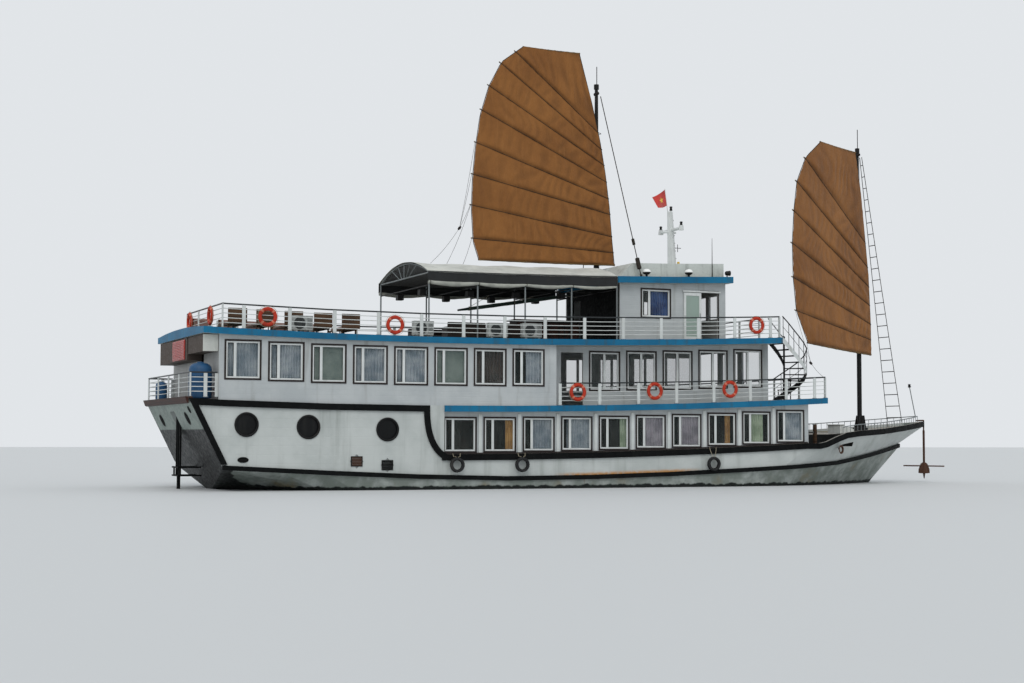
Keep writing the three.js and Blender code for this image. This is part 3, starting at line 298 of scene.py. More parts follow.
def hull_paint():
    finish = Finish("hull_paint", 0.45)
    finish.set_value("Specular IOR Level", 0.25)
    below = finish.less(finish.z, belt_height_nodes(finish))
    shade = finish.over("bdc2c0", "adb3b1", finish.spots(0.6, 0.35, 0.7))
    runs = finish.spots(1.6, 0.5, 0.8, stretch=(1, 1, 0.08))
    shade = finish.tint(shade, "7d837e", runs, 0.6)
    # Stain between the belt and the water
    stain = finish.times(finish.ramp(below, -0.12, -0.2), finish.spots(1.1, 0.15, 0.6))
    shade = finish.over(shade, "747c76", stain)
    ochre = finish.times(
        finish.ramp(below, -0.1, -0.3), finish.spots(0.8, 0.56, 0.75, stretch=(1, 1, 0.6))
    )
    shade = finish.tint(shade, "7b6c4c", ochre, 0.7)
    # Ochre rust that spreads along the belt amidships and in odd runs at the bow
    near_belt = finish.times(finish.ramp(below, 0.16, 0.01), finish.ramp(below, -0.02, 0.0))
    amidships = finish.times(finish.ramp(finish.x, -3.4, -2.2), finish.ramp(finish.x, 4.0, 2.4))
    rust = finish.times(finish.times(near_belt, amidships), finish.spots(5, 0.25, 0.55))
    shade = finish.over(shade, "b9854a", rust)
    drips = finish.times(
        finish.spots(1.9, 0.66, 0.72, stretch=(1, 1, 0.25)), finish.ramp(finish.z, 1.3, 0.5)
    )
    shade = finish.tint(shade, "6e4a2c", drips, 0.8)
    # Growth at the waterline, uneven along its top; it climbs at both ends, and near the stern, up to the
    # belt, it is growth and painted shade
    ragged = finish.times(finish.spots(2.6, 0.2, 0.8, stretch=(1, 1, 0.3)), 0.14)
    astern_growth_and_shade = finish.times(finish.ramp(finish.x, -14.2, -16.4), 0.16)
    astern_growth_and_shade = finish.plus(astern_growth_and_shade, finish.times(finish.ramp(finish.x, -15.9, -17.3), 0.8))
    bow_climb = finish.times(finish.ramp(finish.x, 14.5, 17.2), 0.42)
    edge = finish.plus(finish.plus(ragged, 0.07), finish.plus(astern_growth_and_shade, bow_climb))
    waterline_growth_and_shade = finish.ramp(finish.less(finish.z, edge), 0.03, -0.03)
    waterline_growth_and_shade = finish.times(waterline_growth_and_shade, finish.ramp(below, -0.08, -0.12))
    black = finish.over("0e1312", "1b2420", finish.spots(3.5, 0.45, 0.7, stretch=(1, 1, 0.4)))
    shade = finish.over(shade, black, waterline_growth_and_shade)
    # Transom: grey-green above, near black below
    astern = finish.ramp(finish.facing[0], -0.55, -0.8)
    upper = finish.over("84918a", "6f7b75", finish.spots(1.2, 0.4, 0.7, stretch=(1, 1, 0.4)))
    lower = finish.over("121617", "090b0c", finish.ramp(finish.y, 1.5, -2.5))
    lower = finish.tint(lower, "20282a", finish.spots(1.3, 0.5, 0.75, stretch=(1, 1, 0.3)), 0.7)
    transom = finish.over(upper, lower, finish.ramp(finish.z, 2.4, 2.35))
    shade = finish.over(shade, transom, astern)
    # Decks inside the bulwark
    up = finish.times(finish.ramp(finish.facing[2], 0.6, 0.9), finish.ramp(finish.z, 1.2, 1.4))
    deck_grey = finish.over("6f6a5f", "8a857a", finish.spots(3, 0.3, 0.7, stretch=(0.2, 3, 1)))
    finish.set_colour(finish.over(shade, deck_grey, up))
    finish.set_roughness(finish.spots(7, 0.3, 0.7), 0.34, 0.6)
    planks = finish.node(
        "TexWave", {"Vector": finish.place, "Scale": 0.9, "Distortion": 0.4, "Detail": 1.0},
        bands_direction="Z"
    )
    seams = finish.ramp(planks.outputs[1], 0.02, 0.0)
    finish.set_bump(finish.less(finish.spots(1.5, 0.2, 0.8), finish.times(seams, 0.35)), 0.006)
    return finish.material


hull_white = hull_paint()
print("hull finish nodes:", len(hull_white.node_tree.nodes))

# %% [markdown]
# ## Deck edges, decks and walls
# The blue bands are the edges of the two upper decks. The same slab is a worn grey floor on top
# and a pale ceiling below, so its material looks at which way a face points. The walls are
# painted panels, a little warmer than the hull, with faint joints, runs of dirt, and painted shade
# on the faces that don't face the side, such as the window reveals.

# %% Deck and wall finishes
def deck_paint():
    finish = Finish("deck_blue", 0.5)
    finish.set_value("Specular IOR Level", 0.2)
    edge = finish.over("146c92", "115c80", finish.spots(0.8, 0.3, 0.7))
    edge = finish.tint(edge, "3b4a4c", finish.spots(4, 0.52, 0.75, stretch=(1, 1, 0.2)), 0.6)
    floor_tone = finish.over("8b8a80", "6d6c63", finish.spots(1.2, 0.35, 0.7))
    edge = finish.over(edge, floor_tone, finish.ramp(finish.facing[2], 0.6, 0.8))
    edge = finish.over(edge, "a9aca8", finish.ramp(finish.facing[2], -0.6, -0.8))
    finish.set_colour(edge)
    finish.set_bump(finish.spots(30, 0.3, 0.7), 0.002)
    return finish.material


def wall_paint():
    finish = Finish("wall_white", 0.5)
    shade = finish.over("b4b9ba", "a5abad", finish.spots(0.7, 0.3, 0.7))
    runs = finish.spots(2.4, 0.52, 0.8, stretch=(1, 1, 0.1))
    shade = finish.tint(shade, "75736c", runs, 0.6)
    # Painted shade: faces that don't face the side, such as window reveals and the fore and aft walls,
    # are darker
    inside = finish.ramp(finish.math("ABSOLUTE", finish.facing[1]), 0.5, 0.2)
    shade = finish.tint(shade, "8f8b84", inside, 0.5)
    finish.set_colour(shade)
    boards = finish.node(
        "TexWave", {"Vector": finish.place, "Scale": 1.6, "Distortion": 0.0}, bands_direction="Z"
    )
    finish.set_bump(finish.ramp(boards.outputs[1], 0.0, 0.06), 0.004, 0.6)
    return finish.material


deck_blue = deck_paint()
wall_white = wall_paint()
print("deck and wall finishes ready")

# %% [markdown]
# ## Dark wood
# The cap rail over the transom, the furniture and the house door are brown wood. Grain is noise
# stretched along the board, under an old varnish that has lost most of its shine.

# %% Wood finish
def wood(name, dark, light, along=(0.3, 6, 6), roughness=0.55):
    finish = Finish(name, roughness)
    finish.set_value("Specular IOR Level", 0.2)
    grain = finish.spots(2.2, 0.3, 0.7, stretch=along, detail=8)
    shade = finish.over(dark, light, grain)
    finish.set_colour(finish.tint(shade, "2a2420", finish.spots(1.1, 0.5, 0.8), 0.4))
    finish.set_bump(grain, 0.003)
    return finish.material


wood_red = wood("wood_red", "2c1815", "47291f", along=(6, 0.3, 6))
wood_dark = wood("wood_dark", "120e0c", "241a15", along=(6, 6, 0.4))
wood_floor = wood("wood_floor", "3a2a1e", "5a4330", along=(0.3, 5, 5))
print("wood finishes ready")

# %% Dress the solids
solid_finish = {
    hull_white: ["hull", "hull_fore", "hull_bow"],
    belt_black: ["sheer_strake", "lower_wale", "rudder", "stern_platform"],
    wood_red: ["stern_cap_rail"],
    wood_dark: ["house_door"],
    # The wheelhouse's aft wall under the awning is near black: painted shade
    black_and_shade: ["wheelhouse_aft_wall"],
    deck_blue: ["mid_deck", "sun_deck", "wheelhouse_roof"],
    wall_white: [
        n for n in nodes
        if ("_wall" in n or "_front" in n or n.endswith("bulkhead")) and n != "wheelhouse_aft_wall"
    ],
    frame_white: ["wheelhouse_door_starboard", "wheelhouse_door_port", "signal_mast"],
    steel_black: ["main_mast", "fore_mast"],
    galvanised: ["windlass"],
}


def dress(name, finish):
    nodes[name].data.materials.clear()
    nodes[name].data.materials.append(finish)


for finish, names in solid_finish.items():
    for name in names:
        dress(name, finish)
print(sum(len(v) for v in solid_finish.values()), "solids dressed")

# %% [markdown]
# ## A workbench for meshes
# Rails, frames and fittings are made of a few repeated forms: bars along a path, boards with
# eased edges, plates cut to an outline and turned parts. The bench collects them and makes one
# mesh per piece, which keeps the number of objects small and their names plain.

# %% Workbench
def turns(count):
    """That many angles, evenly spread over a full turn."""
    return [math.tau * i / count for i in range(count)]


def lifted(path, height):
    """The points of a path, each raised by the same height."""
    return [p + Vector((0, 0, height)) for p in path]


UP = (0, 0, 1)
SIDES = ((-1, "starboard"), (1, "port"))


class Bench:
    """Collects the points and faces of one piece, with a finish number for each face."""

    def __init__(self):
        self.points, self.faces, self.paints = [], [], []

    def add(self, points, faces, paint=0):
        start = len(self.points)
        self.points.extend(tuple(p) for p in points)
        self.faces.extend([start + i for i in face] for face in faces)
        self.paints.extend([paint] * len(faces))

    def skin(self, rings, paint=0, loop=False, caps=True):
        """Faces between rings of equal length; loop joins the last ring to the first."""
        count = len(rings[0])
        faces = []
        for i in range(len(rings) if loop else len(rings) - 1):
            a, b = i * count, (i + 1) % len(rings) * count
            for j in range(count):
                k = (j + 1) % count
                faces.append((a + j, a + k, b + k, b + j))
        if caps and not loop:
            faces.append(tuple(reversed(range(count))))
            faces.append(tuple((len(rings) - 1) * count + j for j in range(count)))
        self.add([p for ring in rings for p in ring], faces, paint)

    def bar(self, path, radius, sides=8, paint=0, loop=False):
        """A round bar along a path; radius is one number or one for each point."""
        path = [Vector(p) for p in path]
        radii = radius if isinstance(radius, (list, tuple)) else [radius] * len(path)
        rings, side = [], None
        for i, p in enumerate(path):
            before = path[i - 1] if (loop or i) else p
            after = path[(i + 1) % len(path)] if (loop or i + 1 < len(path)) else p
            ahead = (after - before).normalized()
            side = side or ahead.orthogonal().normalized()
            side = (side - ahead * side.dot(ahead)).normalized()
            up = ahead.cross(side)
            rings.append([p + (side * math.cos(a) + up * math.sin(a)) * radii[i] for a in turns(sides)])
        self.skin(rings, paint, loop=loop)

    def board(self, low, high, paint=0, ease=0.0):
        """A box from low to high; ease cuts its edges back by that much."""
        (x0, y0, z0), (x1, y1, z1) = low, high
        e = min(ease, (x1 - x0) / 3, (y1 - y0) / 3, (z1 - z0) / 3)
        levels = [(z0, e), (z0 + e, 0), (z1 - e, 0), (z1, e)] if e else [(z0, 0), (z1, 0)]
        rings = []
        for z, inset in levels:
            a0, a1, b0, b1 = x0 + inset, x1 - inset, y0 + inset, y1 - inset
            if e:
                ring = [
                    (a0 + e, b0), (a1 - e, b0), (a1, b0 + e), (a1, b1 - e), (a1 - e, b1), (a0 + e, b1),
                    (a0, b1 - e), (a0, b0 + e)
                ]
            else:
                ring = [(a0, b0), (a1, b0), (a1, b1), (a0, b1)]
            rings.append([(x, y, z) for x, y in ring])
        self.skin(rings, paint)

    def post(self, x, y, low, high, half_x, half_y, paint=0, ease=0.0):
        """A board from low to high around a point of the plan."""
        self.board((x - half_x, y - half_y, low), (x + half_x, y + half_y, high), paint, ease)

    def plate(self, outline, y0, y1, paint=0):
        """An outline in x and z, solid from y0 to y1."""
        self.skin([[(x, y, z) for x, z in outline] for y in (y0, y1)], paint)

    def turned(self, centre, axis, profile, sides=24, paint=0):
        """A turned part: profile is a list of (distance along the axis, radius)."""
        centre, axis = Vector(centre), Vector(axis).normalized()
        side = axis.orthogonal().normalized()
        up = axis.cross(side)
        rings = []
        for d, r in profile:
            wide, middle = max(r, 0.0005), centre + axis * d
            rings.append([middle + (side * math.cos(a) + up * math.sin(a)) * wide for a in turns(sides)])
        self.skin(rings, paint)

    def make(self, name, paints, body="ship", smooth=35, replaces=(), slot=None):
        mesh = bpy.data.meshes.new(name)
        mesh.from_pydata(self.points, [], self.faces)
        for paint in paints if isinstance(paints, (list, tuple)) else [paints]:
            mesh.materials.append(paint)
        mesh.polygons.foreach_set("material_index", self.paints)
        mesh.polygons.foreach_set("use_smooth", [smooth > 0] * len(self.faces))
        mesh.set_sharp_from_angle(angle=math.radians(smooth))
        made = bpy.data.objects.new(name, mesh)
        scene.collection.objects.link(made)
        if replaces:
            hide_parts(*replaces)
        if body:
            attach(made, body)
        print(f"{name}: {len(self.faces)} faces on {body}")
        return made


print("workbench ready")

# %% [markdown]
# ## Railings
# A railing is what makes this ship readable from far away: broad flat white posts, four thin
# bars between them and a dark handrail on top. The bars follow the sheer, so their path has a
# point wherever the deck changes its slope.

# %% Railings of the two upper decks and the stern
RAIL_BARS = (0.2, 0.38, 0.56, 0.74)
RAIL_TOP = 0.925
SUN_POSTS = [-17.2] + [-16.37 + 1.81 * i for i in range(14)] + [7.62]
MID_POSTS = [-2.98 + 1.83 * i for i in range(7)] + [9.48, 10.03]


def deck_line(name, x0, x1, y):
    """Points along a deck's edge, one at each end and at each change of slope."""
    inside = [x for x in (-17, -13, -9, -5, -1, 3, 7) if x0 + 0.05 < x < x1 - 0.05]
    return [Vector((x, y, deck(name, x))) for x in [x0, *inside, x1]]


def stretches(name, x0, x1):
    """The ends of each straight stretch of a deck, on the centreline."""
    line = deck_line(name, x0, x1, 0)
    return zip(line, line[1:])


def railing(name, paths, posts, replaces, along_y=(), kerb=()):
    """Bars and handrail along paths, with posts that are flat along the ship or across it."""
    bench = Bench()
    for path in paths:
        for height in RAIL_BARS:
            bench.bar(lifted(path, height), 0.015, 8)
        bench.bar(lifted(path, RAIL_TOP), 0.03, 12, paint=1)
    if kerb:
        bench.bar(lifted(kerb, 0.045), 0.036, 10)
    for posts_here, wide, deep in ((posts, 0.07, 0.022), (along_y, 0.022, 0.07)):
        for x, y, z in posts_here:
            bench.post(x, y, z, z + RAIL_TOP - 0.01, wide, deep, 0, 0.008)
            bench.post(x, y, z + 0.002, z + 0.018, wide + 0.03, deep + 0.03, 2)
    return bench.make(name, [rail_white, handrail_steel, galvanised], replaces=[replaces])


# The after port corner is open above a kerb, where people step down to the gallery
sun_side, sun_end, open_x, open_y = 4.28, 7.62, -15.39, 2.05
aft_z = deck("sun", -17.2)
fore_run = [Vector((sun_end, y, deck("sun", sun_end))) for y in (-2.6, sun_side)]
fore_run += deck_line("sun", open_x, sun_end, sun_side)[::-1][1:]
aft_run = [Vector((-17.2, open_y, aft_z)), *deck_line("sun", -17.2, sun_end, -sun_side)]
kerb_run = [*deck_line("sun", -17.2, open_x, sun_side)[::-1], Vector((-17.2, open_y, aft_z))]
sun_posts = [(x, -sun_side, deck("sun", x)) for x in SUN_POSTS[1:-1]]
sun_posts += [(x, sun_side, deck("sun", x)) for x in [open_x, *SUN_POSTS[2:-1]]]
sun_across = [(-17.2, y, aft_z) for y in (-4.28, -2.1, -0.1, open_y)]
sun_across += [(sun_end, y, deck("sun", sun_end)) for y in (-4.28, -2.6, -0.9, 0.9, 2.6, 4.28)]
railing("sun_deck_railing", [fore_run, aft_run], sun_posts, "sun_deck_rail", sun_across, kerb=kerb_run)

mid_side, mid_end = 4.2, 10.03
mid_path = deck_line("middle", -3.0, mid_end, -mid_side)
mid_path += deck_line("middle", -3.0, mid_end, mid_side)[::-1]
mid_posts = [(x, s * mid_side, deck("middle", x)) for x in MID_POSTS[:-1] for s in (-1, 1)]
mid_across = [(mid_end, y, deck("middle", mid_end)) for y in (-4.2, -2.1, 0, 2.1, 4.2)]
railing("middle_deck_railing", [mid_path], mid_posts, "mid_deck_rail", mid_across)

stern_z = deck("middle", -18.4) + 0.062
stern_plan = [(-17.35, -4.1), (-18.36, -4.1), (-18.36, 4.1), (-17.35, 4.1)]
stern_path = [Vector((x, y, stern_z)) for x, y in stern_plan]
stern_across = [(-18.36, y, stern_z) for y in (-4.1, -2.05, 0, 2.05, 4.1)]
stern_posts = [(x, s * 4.1, stern_z - 0.02) for x in (-17.78, -17.35) for s in (-1, 1)]
railing("stern_railing", [stern_path], stern_posts, "stern_rail", stern_across)

# %% Bow rail with its short uprights and the leaning lamp pole
SHEER_TABLE = [
    (9, 1.8785), (9.8, 1.88), (10.2, 1.95), (10.9, 2.19), (11.5, 2.36), (12.4, 2.45), (14.2, 2.55),
    (16.1, 2.71), (18.4, 2.93)
]


def between(table, x):
    """The value at x of a table of (x, value) rows, straight from row to row."""
    for (x0, v0), (x1, v1) in zip(table, table[1:]):
        if x <= x1:
            return v0 + (v1 - v0) * max(0.0, (x - x0) / (x1 - x0))
    return table[-1][1]


def bulwark_top(x):
    """The height of the bulwark's rail in the bow."""
    return between(SHEER_TABLE, x)


def bulwark_half(x):
    """Half the ship's width over the bulwark in the bow."""
    return 4.11 * (1 - max(0.0, (x - 8.5) / 9.9) ** 1.8) + 0.09


bench = Bench()
bow_xs = [11.3 + 0.252 * i for i in range(26)]
bow_side = [Vector((x, -(bulwark_half(x) - 0.06), bulwark_top(x))) for x in bow_xs]
bow_side += [Vector((18.05, -0.16, bulwark_top(18.05)))]
bow_path = bow_side + [Vector((p.x, -p.y, p.z)) for p in bow_side[::-1]]
bench.bar(lifted(bow_path, 0.28), 0.022, 10)
for p in bow_path:
    bench.bar([p + Vector((0, 0, 0.004)), p + Vector((0, 0, 0.28))], 0.012, 8)
bench.bar([(18.05, 0, bulwark_top(18) + 0.28), (17.72, 0, 4.62)], 0.022, 10)
bench.turned(
    (17.72, 0, 4.58), (-0.06, 0, 1),
    [(0, 0.03), (0.01, 0.075), (0.05, 0.08), (0.06, 0.06), (0.14, 0.06), (0.15, 0.08), (0.17, 0.03)], 20,
    1
)
bench.make("bow_railing", [galvanised, steel_black], replaces=["bow_rail"])

# %% [markdown]
# ## Life rings
# The rings are foam covered in orange canvas, with four faded bands and a grab line that hangs
# in loops between the bands. One is drawn and placed eight times, outside the bars.

# %% Life rings
orange = weathered("ring_orange", "a8321f", 0.65, 0.45, lumps=0.004, grime="4a201a", gloss=0.2)
band_pale = weathered("ring_band", "bb6a52", 0.6, 0.5)
rope_pale = wood("rope_pale", "8d8573", "b3aa94", along=(20, 20, 20), roughness=0.85)
RING_PLACES = []
for x, lift in ((-15.46, 0.5), (-10.28, 0.42), (6.4, 0.56)):
    RING_PLACES.append((x, -sun_side - 0.095, deck("sun", x) + lift, 0))
RING_PLACES += [(x, -mid_side - 0.095, deck("middle", x) + 0.55, 0) for x in (-2.21, 1.41, 5.09)]
RING_PLACES += [(-17.295, y, aft_z + 0.56, 90) for y in (-2.6, 1.15)]


def life_ring(name, x, y, z, turned):
    """One ring with its bands, grab line and hanging cord, turned about the vertical."""
    bench = Bench()
    radius, tube, steps, sides = 0.305, 0.074, 48, 14
    flat = Matrix.Rotation(math.radians(turned), 3, "Z")
    centre = Vector((x, y, z))

    def at(angle, out, side):
        far = radius + out
        return centre + flat @ Vector((far * math.cos(angle), side, far * math.sin(angle)))

    for i in range(steps):
        a, b = math.tau * i / steps, math.tau * (i + 1) / steps
        band = i % 12 in (5, 6)
        fat = tube + (0.004 if band else 0)
        rings = [
            [at(t, fat * math.cos(s), 0.8 * fat * math.sin(s)) for s in turns(sides)] for t in (a, b)
        ]
        bench.skin(rings, 1 if band else 0, caps=False)
    line = []
    for i in range(96):
        a = math.tau * i / 96
        line.append(at(a, tube + 0.012 + 0.03 * abs(math.sin(2 * a)), 0.0))
    bench.bar(line, 0.007, 6, paint=2, loop=True)
    bench.bar([at(math.pi / 2, tube, 0), centre + Vector((0, 0, 0.42))], 0.008, 6, paint=2)
    return bench.make(name, [orange, band_pale, rope_pale])


for i, place in enumerate(RING_PLACES):
    life_ring(f"life_ring_{i + 1}", *place)

# %% [markdown]
# ## Windows
# The walls come with open holes. Each hole gets a dark trim on the outside, a white frame with
# a narrow sash to the left, and a pane. Panes are thin glossy sheets that let most light through,
# so the curtains behind them show, and the saloon can be seen through as in the photograph.

# %% Glass and dark interiors
def clear_pane(name, colour, roughness, alpha):
    finish = Finish(name, roughness)
    finish.set_value("Alpha", alpha)
    finish.set_value("IOR", 1.5)
    smears = finish.spots(2.5, 0.4, 0.75, stretch=(1, 1, 0.3))
    finish.set_colour(finish.over(colour, "8e948f", finish.times(smears, 0.35)))
    finish.set_bump(finish.spots(1.2, 0.2, 0.8), 0.003, 0.4)
    return finish.material


pane = clear_pane("window_pane", "2f3b3b", 0.1, 0.16)
frosted = clear_pane("frosted_pane", "93a69d", 0.5, 0.93)
inner_wall = wood("inner_wall", "241d19", "3a2e27", along=(5, 5, 0.4), roughness=0.6)

# %% Windows of the three decks
TRIM = 0.05
FRAME = 0.07
MULLION_HALF = 0.055
ROWS = {
    "house": dict(
        level="main", x=-8.06, pitch=1.741, count=10, width=1.434, sill=0.06, head=1.5, half=4.0
    ),
    "cabin": dict(
        level="middle", x=-17.08, pitch=1.708, count=8, width=1.425, sill=0.8, head=2.33, half=4.2
    ),
    "saloon": dict(
        level="middle", x=-1.16, pitch=1.77, count=5, width=1.463, sill=0.6, head=2.3, half=3.2
    ),
}


def opening_of(row, i):
    """Left, right, sill and head of a window's trim."""
    x = row["x"] + i * row["pitch"]
    z = deck(row["level"], x + TRIM + row["width"] / 2)
    return x, x + row["width"], z + row["sill"], z + row["head"]


def frame_boards(bench, outer, width, y0, y1, paint, ease=0.005):
    """Four boards around the inside of a rectangle in x and z."""
    x0, x1, z0, z1 = outer
    low, high = min(y0, y1), max(y0, y1)
    bench.board((x0, low, z0), (x1, high, z0 + width), paint, ease)
    bench.board((x0, low, z1 - width), (x1, high, z1), paint, ease)
    bench.board((x0, low, z0 + width), (x0 + width, high, z1 - width), paint, ease)
    bench.board((x1 - width, low, z0 + width), (x1, high, z1 - width), paint, ease)


def sash_window(bench, panes, outer, half, side, mullion):
    """Trim, frame, sash bar and pane in a side wall."""
    x0, x1, z0, z1 = outer
    face = side * half
    grown = (x0 - 0.012, x1 + 0.012, z0 - 0.012, z1 + 0.012)
    frame_boards(bench, grown, TRIM + 0.02, face + side * 0.001, face + side * 0.024, 0)
    hole = (x0 + TRIM, x1 - TRIM, z0 + TRIM, z1 - TRIM)
    frame_boards(bench, hole, FRAME, face - side * 0.012, face - side * 0.06, 1)
    bar = hole[0] + (hole[1] - hole[0]) * mullion
    low, high = sorted((face - side * 0.01, face - side * 0.056))
    bench.board(
        (bar - MULLION_HALF, low, hole[2] + FRAME), (bar + MULLION_HALF, high, hole[3] - FRAME), 1, 0.005
    )
    sash = (hole[0] + FRAME, bar - MULLION_HALF, hole[2] + FRAME, hole[3] - FRAME)
    frame_boards(bench, sash, 0.02, face - side * 0.02, face - side * 0.05, 2)
    low, high = sorted((face - side * 0.034, face - side * 0.04))
    panes.board((hole[0] + 0.02, low, hole[2] + 0.02), (hole[1] - 0.02, high, hole[3] - 0.02))


for kind, row in ROWS.items():
    bench, panes = Bench(), Bench()
    for side in (-1, 1):
        for i in range(row["count"]):
            mullion = 0.5 if kind == "saloon" else 0.27
            sash_window(bench, panes, opening_of(row, i), row["half"], side, mullion)
    bench.make(kind + "_window_frames", [trim_brown, frame_white, black_and_shade])
    panes.make(kind + "_window_panes", pane)

# %% Posts between the house windows, inner walls and the saloon's boarding
def upright(p, y0, y1, low, high):
    """A strip's outline across the ship at one point of a deck."""
    return [(p.x, y0, p.z + low), (p.x, y1, p.z + low), (p.x, y1, p.z + high), (p.x, y0, p.z + high)]


bench = Bench()
row = ROWS["house"]
for i in range(row["count"] - 1):
    right, left = opening_of(row, i)[1], opening_of(row, i + 1)[0]
    x = (right + left) / 2
    z = deck("main", x)
    for y0, y1 in ((-4.045, -4.002), (4.002, 4.045)):
        bench.board((x - 0.075, y0, z + 0.02), (x + 0.075, y1, z + 1.62), 0, 0.01)
for side in (-1, 1):
    y0, y1 = sorted((side * 4.002, side * 4.05))
    for a, b in stretches("main", -8.05, 9.2):
        bench.skin([upright(p, y0, y1, 0.004, 0.055) for p in (a, b)], 1)
bench.make("house_posts", [rail_white, trim_brown])

bench = Bench()
for x0, x1, y, name, tall in ((-8.0, 9.1, 3.1, "main", 1.93), (-17.1, -3.35, 3.0, "middle", 2.48)):
    for s in (-1, 1):
        for a, b in stretches(name, x0, x1):
            bench.skin([upright(p, s * y, s * (y + 0.03), 0.02, tall) for p in (a, b)])
bench.make("inner_partitions", inner_wall)

# %% [markdown]
# ## Curtains
# A gathered curtain is a flat cloth pushed together along its rail. Its pleats are uneven at the
# top and drift as they fall, so the sheet is a grid whose depth follows a wave with a slowly
# wandering phase. Its flat width is measured along its own top edge.

# %% Curtains
def cloth(name, dark, light, weave=900.0, roughness=0.85):
    finish = Finish(name, roughness)
    finish.set_value("Sheen Weight", 0.25)
    shade = finish.over(dark, light, finish.spots(1.6, 0.3, 0.7))
    stains = finish.spots(0.9, 0.55, 0.85, stretch=(1, 1, 0.4))
    finish.set_colour(finish.tint(shade, "4e4638", stains, 0.25))
    finish.set_bump(finish.spots(weave / 10, 0.3, 0.7, detail=2.0), 0.002)
    return finish.material


CURTAIN_CLOTH = {
    "grey_blue": cloth("curtain_grey_blue", "8494a0", "c6ced4"),
    "lilac": cloth("curtain_lilac", "8f8b95", "c3bec6"),
    "ochre": cloth("curtain_ochre", "9a7038", "cfa35c"),
    "pale_green": cloth("curtain_pale_green", "9aae92", "c8d6bd"),
    "brown": cloth("curtain_brown", "2d221d", "46362d"),
    "deep_blue": cloth("curtain_deep_blue", "1c3470", "4a72b4"),
    "blind": cloth("blind_grey_green", "75857f", "8f9d95"),
}


def sheet_grid(name, columns, rows, place, finish, smooth=80):
    """A single layer of cloth: place(u, v) gives a point for u and v from 0 to 1."""
    points = [place(i / columns, j / rows) for j in range(rows + 1) for i in range(columns + 1)]
    faces = []
    for j in range(rows):
        for i in range(columns):
            a = j * (columns + 1) + i
            faces.append((a, a + 1, a + columns + 2, a + columns + 1))
    bench = Bench()
    bench.add(points, faces)
    return bench.make(name, finish, body=None, smooth=smooth)


def length_of(points):
    return sum((Vector(b) - Vector(a)).length for a, b in zip(points, points[1:]))


def curtain(name, kind, box, y, pleats, seed):
    """One curtain in a window: box is its left, right, bottom and top."""
    x0, x1, z0, z1 = box
    depth = 0.042 if pleats else 0.004

    def place(u, v):
        drift = 0.9 * noise.noise(Vector((seed, 3 * u, 1.2 * v)))
        wave = math.sin(math.tau * (pleats * u) + 2.2 * drift) if pleats else drift
        x = x0 + (x1 - x0) * (u + 0.012 * drift * (1 - v))
        return (x, y + depth * wave * (0.75 + 0.25 * (1 - v)), z0 + (z1 - z0) * v)

    columns = max(12, int(10 * pleats))
    made = sheet_grid(name, columns, 10, place, CURTAIN_CLOTH[kind])
    wide = length_of([place(i / columns, 1) for i in range(columns + 1)])
    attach(made, "ship")


CURTAINS = {
    "cabin": [
        ("grey_blue", 0, 1, 11), ("grey_blue", 0, 1, 12), ("blind", 0, 1, 0), ("grey_blue", 0, 1, 11),
        ("grey_blue", 0, 1, 10), ("blind", 0, 1, 0), ("brown", 0, 1, 9), ("grey_blue", 0.45, 1, 6)
    ],
    "house": [
        None, ("ochre", 0.72, 1, 3), ("grey_blue", 0.25, 1, 8), ("grey_blue", 0.2, 1, 9),
        ("pale_green", 0.75, 1, 3), ("lilac", 0.24, 1, 8), ("lilac", 0.24, 1, 9),
        ("ochre", 0.66, 0.86, 2), ("pale_green", 0.25, 0.8, 6), ("grey_blue", 0.24, 1, 8)
    ],
}
for kind, styles in CURTAINS.items():
    row = ROWS[kind]
    for i, style in enumerate(styles):
        if style is None:
            continue
        cloth_kind, start, end, pleats = style
        x0, x1, z0, z1 = opening_of(row, i)
        wide = x1 - x0 - 2 * TRIM
        left, right = x0 + TRIM + wide * start, x0 + TRIM + wide * end
        box = (left, right, z0 - 0.02, z1 - 0.02)
        for side, word in SIDES:
            y = side * (row["half"] - 0.13)
            curtain(
                f"{kind}_curtain_{i + 1}_{word}", cloth_kind, box, y, pleats, i + side,
            )

# %% [markdown]
# ## Sails
# Each sail is one sheet of tanned cloth held flat by spars that fan out from the luff. Between
# two spars the cloth hangs loose: it bellies out, gathers along the spar above and throws long
# folds from the luff. The grid's rows follow the spars, so a spar is always on a row.

# %% Where a sail is
# Edges: height above the foot, distance aft of the mast. Spars: luff height, leech height.
MAIN_LUFF = [(0, -0.75), (1.2, -0.62), (2.6, -0.5), (4.1, -0.3), (5.5, -0.05), (7.25, 0.37), (9.52, 1.01)]
MAIN_LEECH = [
    (-0.12, 5.76), (0.75, 6.05), (2.1, 6.14), (3.45, 6.1), (4.85, 5.97), (6.3, 5.75), (7.6, 5.35),
    (8.75, 4.74), (9.55, 3.67)
]
MAIN_SPARS = [
    (0.03, -0.02), (0.58, 0.9), (1.3, 2.35), (2.3, 3.7), (3.0, 5.1), (3.75, 6.55), (4.5, 7.65),
    (5.2, 8.7), (5.95, 9.27), (9.47, 9.52)
]
FORE_LUFF = [(0, -0.64), (1.42, -0.63), (3.81, -0.46), (6.3, -0.07), (7.99, 0.22), (9.74, 0.63)]
FORE_LEECH = [
    (0.33, 4.85), (1.79, 5.81), (3.3, 6.05), (4.85, 6.1), (6.4, 5.95), (7.75, 5.68), (8.94, 4.93),
    (9.86, 3.6)
]
FORE_SPARS = [
    (0.03, 0.36), (0.75, 1.8), (1.5, 3.3), (2.4, 4.85), (3.3, 6.35), (4.25, 7.72), (5.4, 8.88),
    (9.7, 9.82)
]
